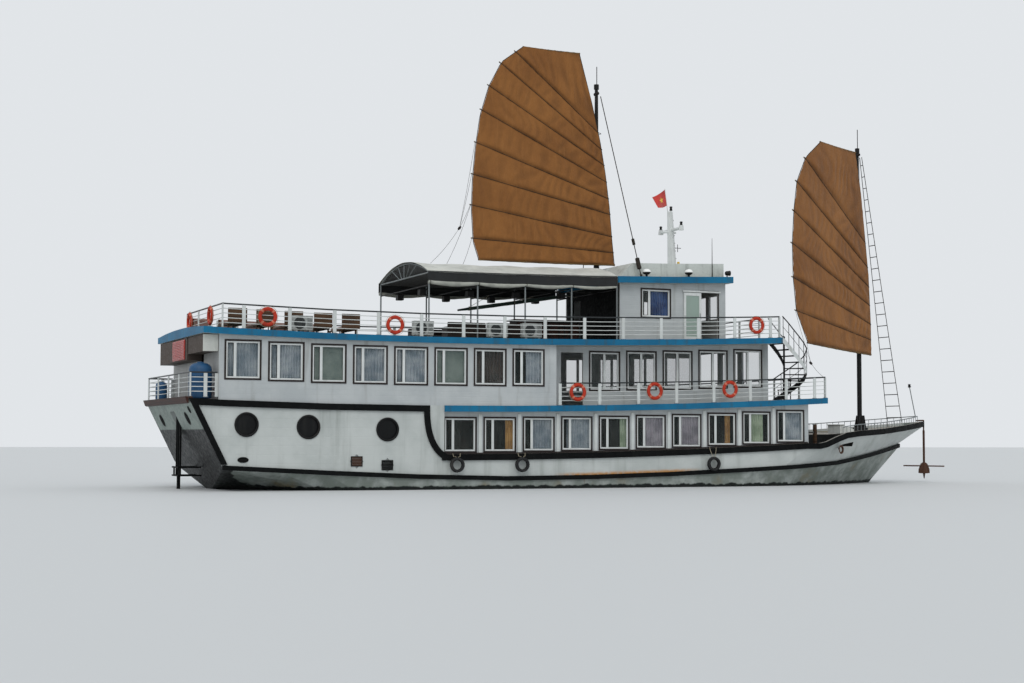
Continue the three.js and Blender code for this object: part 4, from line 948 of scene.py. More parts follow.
SAIL_KINDS = {
    "main": dict(
        x=0.75, foot=9.82, swing=0.0, seed=3.0, luff=MAIN_LUFF, leech=MAIN_LEECH, spars=MAIN_SPARS,
        flat=(6.9, 9.7)
    ),
    "fore": dict(
        x=14.8, foot=6.11, swing=24.0, seed=17.0, luff=FORE_LUFF, leech=FORE_LEECH, spars=FORE_SPARS,
        flat=(6.8, 9.9)
    ),
}


def on_sail(kind, s, h, out):
    """The point s metres aft of the mast, h above the foot and out to starboard of the mast."""
    a = math.radians(kind["swing"])
    x = kind["x"] - math.cos(a) * s + math.sin(a) * out
    return Vector((x, -math.sin(a) * s - math.cos(a) * out, kind["foot"] + h))


def spar_at(kind, v):
    """Luff and leech heights at v, which counts spars from the foot."""
    spars = kind["spars"]
    i = min(int(v), len(spars) - 2)
    t = v - i
    return tuple(spars[i][k] * (1 - t) + spars[i + 1][k] * t for k in (0, 1))


def sail_flat(kind, u, v):
    """Distance aft and height of a point u from luff to leech, v spars up."""
    luff, leech = spar_at(kind, v)
    s0, s1 = between(kind["luff"], luff), between(kind["leech"], leech)
    return s0 + (s1 - s0) * u, luff + (leech - luff) * u


def sail_slack(kind, u, v, s, h):
    """How far the cloth stands out from its spars, and how much painted shade the point gets in a fold or
    under a spar.
    """
    seed = kind["seed"]
    spars = kind["spars"]
    i = min(int(v), len(spars) - 2)
    t = v - i
    gap = (1 - u) * (spars[i + 1][0] - spars[i][0]) + u * (spars[i + 1][1] - spars[i][1])
    # The cloth rests on the lower spar in a roll and is nearly flat below the upper one
    roll = (t / 0.13) ** 0.7 if t < 0.13 else (1 - (t - 0.13) / 0.87) ** 1.5
    loose = 0.55 + 0.45 * noise.noise(Vector((0.8 * s + seed, 3.7 * i, 0.0)))
    belly = min(0.13, 0.055 + 0.05 * gap) * roll * loose * min(1, 9 * u, 9 * (1 - u))
    # Short swags hang between the points where the cloth is laced to the spar above
    drift = noise.noise(Vector((0.5 * s + seed, 1.7 * i, 0.6 * h)))
    swag = math.sin(5.5 * s + 7.5 * drift + 1.9 * i + 1.3 * h)
    tight = math.sin(math.pi * min(1.0, t * 1.05)) ** 0.7
    swags = 0.03 * tight * (0.3 + 0.7 * max(0.0, drift + 0.45)) * (1 - abs(swag)) * (1.25 - 0.6 * u)
    # Long folds run aft and up from the luff
    slant = 1.6 * s - 2.1 * h + 3.0 * noise.noise(Vector((0.35 * s, 0.35 * h + seed, 2.0)))
    long_fold = 1 - abs(math.sin(slant))
    folds = 0.028 * max(0.0, 1 - 1.3 * u) * long_fold**2 * tight
    crumple = 0.012 * noise.fractal(Vector((s * 3.1, h * 3.1, seed)), 0.7, 2.1, 4)
    # Painted shade: darkest on the underside of the roll above the lower spar, lighter just below the
    # upper spar, and along the swags and the long folds
    under = max(0.0, 1 - t / 0.1) * loose + 0.25 * max(0.0, 1 - (1 - t) / 0.05)
    swag_shade = 0.75 * max(0.0, 0.35 - (1 - abs(swag))) * tight * (1.2 - 0.7 * u)
    fold_line_shade = 0.6 * max(0.0, 0.25 - long_fold) * max(0.0, 1 - 1.3 * u)
    deep = under + swag_shade + fold_line_shade
    return belly + swags + folds + crumple, min(1.0, max(0.0, deep))


# %% Sail cloth
def sail_cloth(name):
    finish = Finish(name, 0.9)
    finish.set_value("Sheen Weight", 0.1)
    finish.set_value("Specular IOR Level", 0.2)
    shade = finish.over("7b5029", "8d5e31", finish.spots(0.45, 0.3, 0.7))
    shade = finish.tint(shade, "6a4526", finish.spots(1.4, 0.5, 0.8, stretch=(1, 1, 0.2)), 0.6)
    shade = finish.tint(shade, "9a6b3c", finish.spots(7, 0.5, 0.8, stretch=(1, 1, 0.08)), 0.4)
    # Painted shade lies in the folds and under the rolls: the cloth's own mesh says how much each point
    # gets
    deep = finish.node("Attribute", {}, attribute_name="fold_shade").outputs["Fac"]
    shade = finish.tint(shade, "2b1a10", deep, 0.8)
    finish.set_colour(shade)
    grain = finish.spots(9, 0.2, 0.8, stretch=(1, 1, 0.35), detail=9)
    finish.set_bump(grain, 0.012)
    return finish.material


sail_brown = sail_cloth("sail_canvas")
bamboo = wood("bamboo", "4d3a24", "7d6238", along=(0.5, 6, 6))
rope_dark = wood("rope_dark", "1f1d1a", "39342d", along=(20, 20, 20), roughness=0.85)


for word, kind in SAIL_KINDS.items():
    spars, luff_edge, leech_edge = kind["spars"], kind["luff"], kind["leech"]
    spans = len(spars) - 1
    across, up = 190, 20 * spans

    def place(a, b, kind=kind, spans=spans):
        s, h = sail_flat(kind, a, b * spans)
        return on_sail(kind, s, h, 0.268 + sail_slack(kind, a, b * spans, s, h)[0])

    made = sheet_grid(word + "_sail_cloth", across, up, place, sail_brown)
    # The painted shade of each point goes on the mesh for the sail's material
    depth = made.data.attributes.new("fold_shade", "FLOAT", "POINT")
    where = [(i / across, j / up * spans) for j in range(up + 1) for i in range(across + 1)]
    depth.data.foreach_set("value", [sail_slack(kind, a, v, *sail_flat(kind, a, v))[1] for a, v in where])
    low, high = spars[0], spars[-1]
    heights = [[low[n] + (high[n] - low[n]) * k / 200 for n in (0, 1)] for k in range(201)]
    outline = [(between(luff_edge, a), a) for a, b in heights]
    outline += [(between(leech_edge, b), b) for a, b in reversed(heights)]
    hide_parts(word + "_sail")
    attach(made, word + "_sail")

    # Spars with bamboo knots, edge ropes and the hoops that hold the sail to its mast
    bench = Bench()
    for i, (luff, leech) in enumerate(spars):
        s0, s1 = between(luff_edge, luff), between(leech_edge, leech)
        thick = 0.045 if i in (0, spans) else 0.03
        past = 0.1 if 0 < i < spans else 0.02
        a, b = Vector((s0 - 0.05, luff)), Vector((s1 + past, leech + (leech - luff) * 0.014))
        path, radii = [], []
        for k in range(37):
            p = a.lerp(b, k / 36)
            path.append(on_sail(kind, p.x, p.y - 0.02 * math.sin(math.pi * k / 36), 0.231))
            radii.append(thick * (1.16 if k % 4 == 0 else 0.97) * (1.05 - 0.25 * k / 36))
        bench.bar(path, radii, 10)
        # A thin lath on the cloth's near side clamps it to the spar
        if 0 < i < spans:
            line = [a.lerp(b, k / 24) for k in range(25)]
            bench.bar([on_sail(kind, p.x, p.y - 0.012, 0.276) for p in line], 0.011, 6, paint=1)
        # A hoop around the mast where the spar crosses it
        h = a.y + (b.y - a.y) * (0 - a.x) / (b.x - a.x)
        if 0 < i < spans:
            hoop = [on_sail(kind, 0.21 * math.cos(t), h + 0.02, 0.21 * math.sin(t)) for t in turns(24)]
            bench.bar(hoop, 0.012, 6, paint=1, loop=True)
    for edge, k, shift in ((luff_edge, 0, -0.02), (leech_edge, 1, 0.02)):
        levels = [pair[k] for pair in heights[::5]]
        line = [on_sail(kind, between(edge, h) + shift, h, 0.262) for h in levels]
        bench.bar(line, 0.016, 8, paint=1)
    bench.make(
        word + "_sail_battens", [bamboo, rope_dark], body=word + "_sail", replaces=[word + "_sail_spars"]
    )

# %% [markdown]
# ## Ropes of the sails
# The lower spars have thin ropes at their leech ends, and these gather in a wooden block. From
# there one fall leads down. The ropes near the sail swing with it; every fall is drawn once, with a
# slight sag, from the sail down to where its lower end is made fast, and is attached to neither.

# %% Sheets and halyards
# The two ends of every part: a height on the leech, or the block, then the point it leads to
BLOCKS = {"main": (-5.97, -0.3, 11.12), "fore": (9.95, -3.2, 5.49)}
FALLS = {
    "main": [(None, (-7.3, -0.3, 9.53)), (2.35, (-6.55, -0.3, 9.54)), (0.95, (-5.8, -0.3, 9.55))],
    "fore": [(None, (10.0, -4.18, 4.8))],
}


def hanging(a, b, share, steps):
    """Points of a rope from a to b that sags by a share of its length."""
    sag = Vector((0, 0, -share * (a - b).length))
    return [a.lerp(b, t / steps) + sag * math.sin(math.pi * t / steps) for t in range(steps + 1)]


def on_leech(kind, height, past):
    return on_sail(kind, between(kind["leech"], height) + past, height, 0.235)


for word, kind in SAIL_KINDS.items():
    block = Vector(BLOCKS[word])
    ends = [on_leech(kind, spar[1], 0.06) for spar in kind["spars"][:-1]]
    bench = Bench()
    for end in (ends[2:5] if word == "main" else ends[:2]):
        bench.bar(hanging(end, block, 0.03, 10), 0.007, 6)
    axis = (Vector(FALLS[word][0][1]) - block).normalized()
    bench.turned(
        block, axis, [(-0.1, 0.02), (-0.08, 0.045), (0, 0.06), (0.08, 0.045), (0.1, 0.02)], 14, 1
    )
    bench.make(word + "_sheet_ropes", [rope_dark, wood_dark], body=word + "_sail")
    for k, (leech, foot) in enumerate(FALLS[word]):
        foot = Vector(foot)
        top = block if leech is None else on_leech(kind, leech, 0.04)
        bench = Bench()
        bench.bar(hanging(top, foot, 0.05, 24), 0.007, 6)
        fall = bench.make(f"{word}_sheet_fall_{k + 1}", rope_dark, body=None)
        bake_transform(fall)

bench = Bench()
for x, top, deck_z in ((0.75, 17.6, 9.4), (14.8, 15.8, 2.75)):
    for side in (-1, 1):
        y = side * 0.182
        bench.bar([(x, side * 0.15, top), (x, y, (top + deck_z) / 2), (x, y, deck_z)], 0.008, 6)
        sheave = [(-0.03, 0.05), (-0.02, 0.075), (0.02, 0.075), (0.03, 0.05)]
        bench.turned((x, side * 0.13, top), (0, side, 0), sheave, 14, 1)
bench.make("halyards", [rope_dark, wood_dark])

# %% Rope ladder on the fore stay
bench = Bench()
ladder_foot = bulwark_top(16.85) - 0.126


def ladder_point(side, t):
    return Vector((15.0, side * 0.08, 15.7)).lerp(Vector((16.85, side * 0.59, ladder_foot)), t)


for side in (-1, 1):
    bench.bar([ladder_point(side, t / 20) for t in range(21)], 0.016, 8)
for i in range(23):
    t = 0.03 + i * 0.0425
    bench.bar([ladder_point(-1, t), ladder_point(1, t)], 0.02, 8, paint=1)
bench.make("fore_rope_ladder", [rope_dark, wood_dark], replaces=["fore_ladder"])

# %% [markdown]
# ## Canopy
# The awning is one curved cloth over arched bows. It sags a little between the bows and its edge
# is laced down. A near-black sheet under it is painted shade inside the awning. Below the edge
# hangs a near-black strip, painted shade of the open band, and under that the side curtain is
# rolled up and tied at the posts, which gives the pale line.

# %% Canopy frame, cover, painted shade sheet and strip, and rolled curtain
CANOPY_BAY = 2.15
CANOPY_POSTS = [-8.38 + CANOPY_BAY * i for i in range(5)]
CANOPY_HALF, CANOPY_RISE = 3.08, 0.6


def bay_swell(x):
    """0 at the canopy's posts and 1 halfway between two of them."""
    return math.sin(math.pi * (((x - CANOPY_POSTS[0]) / CANOPY_BAY) % 1))


def canopy_z(x, y):
    """The height of the arched bows under the canopy."""
    return deck("eave", x) + CANOPY_RISE * (1 - (y / CANOPY_HALF) ** 2)


bench = Bench()
for side in (-1, 1):
    edge = [(x, side * CANOPY_HALF, deck("eave", x) - 0.055) for x in (-8.4, -5, -1, 0.24)]
    bench.bar(edge, 0.03, 10)
    for x in CANOPY_POSTS:
        y, z = side * CANOPY_HALF, deck("sun", x)
        bench.bar([(x, y, z + 0.004), (x, y, deck("eave", x) - 0.05)], 0.034, 12)
        bench.turned((x, y, z + 0.002), UP, [(0, 0.09), (0.012, 0.09), (0.018, 0.05), (0.05, 0.045)], 16)
for x in CANOPY_POSTS:
    z = deck("eave", x)
    bench.bar([(x, -CANOPY_HALF, z - 0.56), (x, CANOPY_HALF, z - 0.56)], 0.025, 10, paint=1)
    ys = [CANOPY_HALF * (t / 12 - 1) for t in range(25)]
    bench.bar([(x, y, canopy_z(x, y) - 0.04) for y in ys], 0.022, 10)
x = CANOPY_POSTS[0]
z = deck("eave", x)
bench.bar([(x, -CANOPY_HALF, z - 0.05), (x, CANOPY_HALF, z - 0.05)], 0.03, 10)
for y in (-1.54, -0.77, 0, 0.77, 1.54):
    bench.bar([(x, y * 0.35, z - 0.05), (x, y, canopy_z(x, y) - 0.05)], 0.02, 8)
for y in (-2.0, -1.0, 0, 1.0, 2.0):
    bench.bar([(x, y, canopy_z(x, y) - 0.07) for x in (-8.38, -5, -1, 0.2)], 0.014, 8)
for y in (-1.4, 1.4):
    bench.bar([(x, y, deck("eave", x) - 0.59) for x in (-8.38, -4, 0.2)], 0.022, 8, paint=1)
    for x in CANOPY_POSTS[:-1]:
        z = deck("eave", x + 0.3) - 0.73
        bench.board((x + 0.16, y - 0.16, z - 0.13), (x + 0.44, y + 0.16, z + 0.13), 1, 0.02)
bench.make("canopy_poles", [galvanised, steel_black], replaces=["canopy_frame"])

ROLL_Y = 3.16
canopy_cloth = cloth("canopy_cloth", "a8aba4", "c4c6be", roughness=0.8)
# Near-black cloth for the sheet under the awning and the strip below its edge: painted shade
painted_shade_cloth = cloth("painted_shade_cloth", "0a0d0e", "14181b")
roll_cloth = cloth("roll_cloth", "83867f", "a6a89f")


def canopy_place(u, v):
    x, y = -8.45 + 8.68 * u, CANOPY_HALF * 1.035 * (2 * v - 1)
    sag = 0.045 * bay_swell(x) ** 2 * (1 - 0.4 * abs(2 * v - 1))
    ripple = 0.012 * noise.noise(Vector((x * 2.2, y * 1.3, 4.0)))
    return (x, y, canopy_z(x, y) + 0.03 - sag + ripple)


made = sheet_grid("canopy_cover", 120, 64, canopy_place, canopy_cloth)
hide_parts("canopy_roof")
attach(made, "ship")


# The near-black sheet under the cover is painted shade
def shade_lining_place(u, v):
    x, y = -8.32 + 8.46 * u, 3.0 * (2 * v - 1)
    return (x, y, canopy_z(x, y) - 0.095 - 0.03 * bay_swell(x) ** 2)


made = sheet_grid("canopy_shade_lining", 60, 32, shade_lining_place, painted_shade_cloth)
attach(made, "ship")

# A near-black strip hangs below each edge: painted shade of the open band under the awning
for side, word in SIDES:

    def shade_strip_place(u, v, side=side):
        x = -8.46 + 8.66 * u
        wave = 0.02 * math.sin(x * 2.92) + 0.012 * noise.noise(Vector((x * 1.5, v, side)))
        return (x, side * 3.17 + side * wave * (1 - v), deck("eave", x) - 0.42 + 0.44 * v)

    made = sheet_grid("canopy_shade_strip_" + word, 110, 8, shade_strip_place, painted_shade_cloth)
    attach(made, "ship")
    bench = Bench()
    rings = []
    for i in range(161):
        x = -8.44 + 8.6 * i / 160
        size = (0.095 - 0.04 * i / 160) * (0.75 + 0.35 * bay_swell(x))
        size += 0.008 * noise.noise(Vector((x * 4, side, 0)))
        z = deck("eave", x) - 0.45 - 0.06 * bay_swell(x)
        ring = []
        for a in turns(16):
            up = size * (1 + 0.06 * math.sin(5 * a + x)) * math.sin(a)
            ring.append((x, side * ROLL_Y + size * 0.8 * math.cos(a), z + up))
        rings.append(ring)
    bench.skin(rings)
    made = bench.make("rolled_curtain_" + word, roll_cloth, smooth=80)
    bench = Bench()
    for x in [CANOPY_POSTS[0] + 0.02 + CANOPY_BAY * i for i in range(4)]:
        z = deck("eave", x) - 0.45
        loop = [(x, side * ROLL_Y + 0.08 * math.cos(t), z + 0.085 * math.sin(t)) for t in turns(16)]
        bench.bar(loop, 0.01, 6, loop=True)
        bench.bar([(x, side * ROLL_Y, z + 0.1), (x, side * 3.13, deck("eave", x) - 0.05)], 0.008, 6)
    bench.make("curtain_ties_" + word, rope_dark)

# %% [markdown]
# ## Wheelhouse
# The helm has a white window with a blue curtain, a sliding door with a frosted pane and an open
# doorway with brown trim. The pane rides on the door, so it slides with it.

# %% Wheelhouse windows, doors and roof fittings
bench, panes = Bench(), Bench()
for side, word in SIDES:
    sash_window(bench, panes, (1.55, 3.03, 7.31, 8.61), 2.75, side, 0.27)
    face = side * 2.75
    floor_z = deck("sun", 5.0) + 0.02
    doorway = (4.5, 5.46, floor_z - 0.05, floor_z + 2.18)
    frame_boards(bench, doorway, 0.06, face + side * 0.001, face + side * 0.009, 0)
    box = (1.98, 2.96, 7.36, 8.56)
    curtain(
        "wheelhouse_curtain_" + word, "deep_blue", box, side * 2.58, 8, 5 + side,
    )
    # Door rail above and below
    z = deck("sun", 5.4)
    low, high = sorted((face + side * 0.004, face + side * 0.1))
    bench.board((3.6, low, z + 2.085), (5.5, high, z + 2.16), 1, 0.01)
    y = face + side * 0.045
    bench.bar([(3.6, y, z - 0.008), (5.5, y, z + 0.002)], 0.012, 8, paint=1)
    door = Bench()
    door_z = z + 0.012
    low, high = sorted((side * 2.788, side * 2.802))
    door.board((3.74, low, door_z + 0.1), (4.44, high, door_z + 1.94), 0, 0.003)
    near, far = side * 2.825, side * 2.838
    handle = [(4.46, near, 0.95), (4.46, far, 0.97), (4.46, far, 1.13), (4.46, near, 1.15)]
    door.bar([(x, y, door_z + h) for x, y, h in handle], 0.012, 8, paint=1)
    low, high = sorted((side * 2.826, side * 2.834))
    door.board((3.66, low, door_z + 1.0), (3.76, high, door_z + 1.02), 1)
    door.make("wheelhouse_pane_" + word, [frosted, galvanised], body="wheelhouse_door_" + word)
front_x = 5.79
for y in (-2.45, -1.15, 0.15, 1.35):
    z0 = deck("sun", 5.7) + 0.95
    for width, x0, x1, inset, paint in (
        (0.056, front_x + 0.001, front_x + 0.022, -0.05, 0),
        (0.045, front_x - 0.06, front_x - 0.014, 0.0, 1)
    ):
        a, b, c, d = y + inset, y + 1.05 - inset, z0 + inset, z0 + 1.1 - inset
        bench.board((x0, a, c), (x1, b, c + width), paint, 0.004)
        bench.board((x0, a, d - width), (x1, b, d), paint, 0.004)
        bench.board((x0, a, c + width), (x1, a + width, d - width), paint, 0.004)
        bench.board((x0, b - width, c + width), (x1, b, d - width), paint, 0.004)
    panes.board((front_x - 0.04, y + 0.02, z0 + 0.02), (front_x - 0.034, y + 1.03, z0 + 1.08))
bench.make("wheelhouse_window_frames", [trim_brown, frame_white, black_and_shade])
panes.make("wheelhouse_window_panes", pane)

roof_pale = weathered("roof_pale", "b9bfbb", 0.5, 0.45, lumps=0.006)
dress("roof_box", roof_pale)
lamp_white = weathered("lamp_white", "e4e6e4", 0.25, 0.1)
lamp_red = weathered("lamp_red", "a52a1e", 0.3, 0.15)
lamp_yellow = weathered("lamp_yellow", "c7a52c", 0.45, 0.2)

bench = Bench()
dome_low = [(0, 0.05), (0.09, 0.05), (0.1, 0.1), (0.14, 0.15), (0.2, 0.18), (0.21, 0.02)]
dome_high = [(0.2, 0.185), (0.22, 0.187), (0.28, 0.165), (0.33, 0.11), (0.35, 0.01)]
for x in (1.76, 3.85):
    for y in (-2.9, 2.9):
        foot = (x, y, deck("roof", x) + 0.002)
        bench.turned(foot, UP, dome_low, 24, 1)
        bench.turned(foot, UP, dome_high, 24)
x = 5.82
z = deck("roof", x)
bench.bar([(x, -2.85, z), (x, -2.85, z + 0.08)], 0.028, 12, paint=1)
bench.turned(
    (x - 0.1, -2.85, z + 0.17), (1, -0.1, 0.05),
    [(0, 0.03), (0.02, 0.08), (0.06, 0.1), (0.2, 0.11), (0.21, 0.118), (0.235, 0.118)], 28, 1
)
bench.turned(
    (x + 0.132, -2.873, z + 0.182), (1, -0.1, 0.05), [(0, 0.105), (0.008, 0.095), (0.012, 0.01)], 28
)
antenna = deck("roof", 5.09)
bench.bar(
    [(5.09, -2.8, antenna), (5.09, -2.8, antenna + 0.25), (5.09, -2.8, 10.95)], [0.028, 0.02, 0.008], 10,
    paint=1
)
for x in (1.4, 2.7, 4.0, 5.3):
    for s in (-1, 1):
        low, high = sorted((s * 2.552, s * 2.575))
        bench.board(
            (x - 0.03, low, deck("roof", x) + 0.03), (x + 0.03, high, deck("box", x) - 0.02), 2, 0.004
        )
bench.make("roof_lamps", [lamp_white, steel_black, roof_pale])

bench = Bench()
lamp = [
    (0, 0.045), (0.02, 0.07), (0.06, 0.07), (0.07, 0.055), (0.15, 0.055), (0.16, 0.072), (0.19, 0.066),
    (0.21, 0.015)
]
for y in (-0.97, 0.97):
    bench.turned((4.55, y, 11.69), UP, lamp, 20, 1)
bench.turned((4.556, 0, 12.5), UP, lamp, 20, 1)
bench.board((4.8, -0.2, 9.87), (4.9, -0.1, 10.15), 2, 0.02)
bench.bar([(4.66, -0.12, 10.78), (5.0, -0.12, 10.78)], 0.014, 8, paint=1)
bench.bar([(4.83, -0.12, 10.6), (4.83, -0.12, 10.95)], 0.014, 8, paint=1)
for k in range(6):
    z = 10.3 + 0.35 * k
    s = (z - 9.84) / 2.62
    x, r = 4.6 - 0.1 * s, 0.205 - 0.08 * s
    bench.bar(
        [(x + r * 0.6, -r - 0.03, z), (x + r + 0.03, 0, z), (x + r * 0.6, r + 0.03, z)], 0.01, 6, paint=1
    )
bench.make("signal_lamps", [lamp_white, steel_black, lamp_yellow])

# %% [markdown]
# ## Flag
# The flag hangs from a leaning staff and blows a little aft. It is one sheet whose wave grows
# away from the staff, with a plain five-pointed star laid on both faces.

# %% Flag with its star
flag_red = cloth("flag_red", "a3241d", "c43428")
star_yellow = cloth("star_yellow", "d0a62e", "e6c23f")
STAFF_LOW, STAFF_HIGH = Vector((4.35, 0, 12.74)), Vector((4.25, 0, 13.48))
FLY_LOW, FLY_HIGH = Vector((3.62, -0.5, 12.53)), Vector((3.42, -0.3, 13.03))


def flag_place(u, v):
    place = STAFF_LOW.lerp(STAFF_HIGH, v).lerp(FLY_LOW.lerp(FLY_HIGH, v), u)
    wave = 0.05 * math.sin(7 * u + 2 * v) * u
    return place + Vector((0.5 * wave, wave, -0.05 * math.sin(math.pi * u)))


made = sheet_grid("flag", 36, 24, flag_place, flag_red)
star = Bench()
for lift in (-0.006, 0.006):
    outline = []
    for k in range(10):
        r = 0.24 if k % 2 == 0 else 0.09
        angle = math.pi / 2 + k * math.pi / 5
        outline.append(
            flag_place(0.42 + r * 0.78 * math.cos(angle), 0.5 + r * math.sin(angle))
            + Vector((0, lift, 0))
        )
    centre = flag_place(0.42, 0.5) + Vector((0, lift, 0))
    star.add([centre, *outline], [(0, k + 1, (k + 1) % 10 + 1) for k in range(10)])
star_piece = star.make("flag_star", star_yellow)
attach(made, "ship")

# %% [markdown]
# ## Curved stair
# The stair turns down from the sun deck to the middle deck around a black post: black treads,
# a pale outer string and a black handrail on thin balusters.

# %% Stair
STAIR_LOW, STAIR_HIGH = deck("middle", 8.62) + 0.006, deck("sun", 7.72) - 0.02
# Plan of the flight from top to bottom: the outer edge, then the inner edge
OUTER_EDGE = [(7.72, -4.38), (8.05, -4.32), (8.4, -4.18), (8.75, -4.05), (9.1, -3.9), (9.48, -3.6),
              (9.66, -3.15), (9.62, -2.75), (9.42, -2.37), (9.1, -2.13), (8.7, -2.05)]
INNER_EDGE = [(7.72, -3.2), (8.0, -3.18), (8.25, -3.16), (8.45, -3.14), (8.57, -3.14), (8.62, -3.12),
              (8.66, -3.1), (8.67, -3.07), (8.66, -3.04), (8.63, -3.03), (8.6, -3.03)]


def stair_point(edge, t, lift=0.0):
    """A point over one edge of the flight, t from 0 at the top to 1 at the bottom."""
    i = min(9, int(t * 10))
    part = t * 10 - i
    x, y = (edge[i][k] + (edge[i + 1][k] - edge[i][k]) * part for k in (0, 1))
    return Vector((x, y, max(STAIR_HIGH + (STAIR_LOW - STAIR_HIGH) * t + lift, STAIR_LOW)))


def stair_string(edge, first, last, paint):
    rings = []
    for k in range(29):
        t = first + (last - first) * k / 28
        low, high = stair_point(edge, t, -0.2), stair_point(edge, t, 0.06)
        rings.append([low - EDGE_HALF, low + EDGE_HALF, high + EDGE_HALF, high - EDGE_HALF])
    bench.skin(rings, paint)


EDGE_HALF = Vector((0.012, 0.012, 0))
bench = Bench()
for k in range(10):
    a, b = k / 10, (k + 1.02) / 10
    z = STAIR_HIGH + (STAIR_LOW - STAIR_HIGH) * (k + 0.9) / 10
    outline = [
        stair_point(OUTER_EDGE, a), stair_point(OUTER_EDGE, min(1, b)),
        stair_point(INNER_EDGE, min(1, b)), stair_point(INNER_EDGE, a)
    ]
    bench.skin([[(p.x, p.y, z) for p in outline], [(p.x, p.y, z + 0.045) for p in outline]])
stair_string(OUTER_EDGE, 0, 0.5, 1)
stair_string(OUTER_EDGE, 0.5, 1, 0)
stair_string(INNER_EDGE, 0, 0.45, 0)
bench.bar([(8.6, -3.1, STAIR_LOW), (8.6, -3.1, 6.6)], 0.045, 20)
bench.turned((8.6, -3.1, 6.59), UP, [(0, 0.05), (0.03, 0.06), (0.07, 0.04), (0.09, 0.01)], 20)
bench.bar([stair_point(OUTER_EDGE, k / 40, 0.95) for k in range(41)], 0.026, 10)
bench.bar([stair_point(OUTER_EDGE, k / 40, 0.5) for k in range(41)], 0.011, 8)
bench.bar([(7.72, -3.2, 7.44), (8.55, -3.12, 6.6)], 0.022, 10)
for k in range(11):
    t = min(0.99, 0.01 + k * 0.1)
    bench.bar([stair_point(OUTER_EDGE, t, 0.03), stair_point(OUTER_EDGE, t, 0.94)], 0.014, 8)
bench.make("curved_stair", [steel_black, rail_white], replaces=["spiral_stair"])

# %% [markdown]
# ## Hull fittings
# Portholes, slatted vents, an oval outlet, rusty hawse rims and worn tyres used as fenders give
# the long side its scale. Each sits on the planking, a few millimetres proud.

# %% Portholes, vents, outlets and hawse rims
rust_iron = weathered("rust_iron", "4a3226", 0.85, 0.5, 0.3, 0.006, grime="7a4a2c")
port_glass = weathered("porthole_glass", "06080a", 0.4, 0.2, gloss=0.2)
bench = Bench()
for side in (-1, 1):
    face = side * 4.2
    out = (0, side, 0)
    for x, z in ((-16.2, 2.56), (-13.75, 2.48), (-10.51, 2.4)):
        ring = [
            (0, 0.4), (0.012, 0.475), (0.035, 0.475), (0.045, 0.455), (0.045, 0.425), (0.03, 0.405),
            (-0.06, 0.4)
        ]
        rings = []
        for d, r in ring:
            y = face + side * d
            rings.append([(x + r * math.cos(t), y, z + r * math.sin(t)) for t in turns(48)])
        bench.skin(rings, 0, caps=False)
        bench.turned(
            (x, face - side * 0.06, z), out, [(0, 0.41), (0.01, 0.41), (0.016, 0.3), (0.02, 0.01)], 48, 3
        )
        for k in range(8):
            t = math.tau * (k + 0.5) / 8
            bench.turned(
                (x + 0.452 * math.cos(t), face + side * 0.04, z + 0.452 * math.sin(t)), out,
                [(0, 0.016), (0.012, 0.014), (0.016, 0.004)], 8, 0
            )
    for (x, z), slats in (((-11.78, 1.14), 1), ((-10.51, 0.99), 2)):
        outer = (x - 0.24, x + 0.24, z - 0.2, z + 0.2)
        frame_boards(bench, outer, 0.035, face + side * 0.002, face + side * 0.03, 0)
        for k in range(6):
            zz = z - 0.14 + 0.056 * k
            y0, y1 = sorted((face - side * 0.035, face + side * 0.018))
            tilt = 0.02
            ring = [(y0, zz - tilt), (y1, zz - tilt), (y1, zz - tilt + 0.012), (y0, zz - tilt + 0.04)]
            bench.skin([[(xx, y, zc) for y, zc in ring] for xx in (x - 0.205, x + 0.205)], slats)
    # Oval outlet below the first porthole
    rings = []
    for d, r in ((0.0, 1.0), (0.02, 1.1), (0.03, 1.0), (0.02, 0.75), (0.004, 0.72)):
        y, wide, tall = face + side * d, 0.2 * r, 0.1 * r
        rings.append([(-16.32 + wide * math.cos(t), y, 1.21 + tall * math.sin(t)) for t in turns(32)])
    bench.skin(rings, 2)
    # Hawse pipe rim
    y = side * (bulwark_half(11.15) + 0.01)
    rings = []
    for d, r in ((-0.02, 0.15), (0.03, 0.2), (0.05, 0.17), (0.04, 0.13), (-0.05, 0.12)):
        ring = []
        for t in turns(28):
            along, inward = r * math.cos(t), 0.475 * r * math.cos(t)
            ring.append((11.1 + along, y + side * (d - inward), 1.6 + r * math.sin(t)))
        rings.append(ring)
    bench.skin(rings, 1, caps=False)
    # Bolts of the sheer strake and the wale
    for k in range(46):
        x = -8.0 + 0.38 * k
        bench.turned(
            (x, side * 4.281, deck("main", x) - 0.125), out, [(0, 0.018), (0.008, 0.016), (0.011, 0.004)],
            8, 0
        )
bench.make("hull_fittings", [steel_black, rust_iron, black_and_shade, port_glass])

bench = Bench()


def transom(y, z, proud=0.0):
    """A point on the sloping transom."""
    return Vector((-18.36 + (3.4 - z) * 0.502, y, z)) + Vector((-0.894, 0, -0.449)) * proud


for y, z, radius in ((2.7, 2.76, 0.24), (-2.3, 2.8, 0.24), (-3.35, 3.13, 0.13)):
    for grow, proud, paint in ((1.16, 0.014, 0), (1.0, 0.022, 1)):
        r = grow * radius
        rim = [(y + r * math.cos(t), z + 0.894 * r * math.sin(t)) for t in turns(32)]
        bench.skin([[transom(*point, out) for point in rim] for out in (0.001, proud)], paint)
bench.make("transom_fittings", [steel_black, black_and_shade])

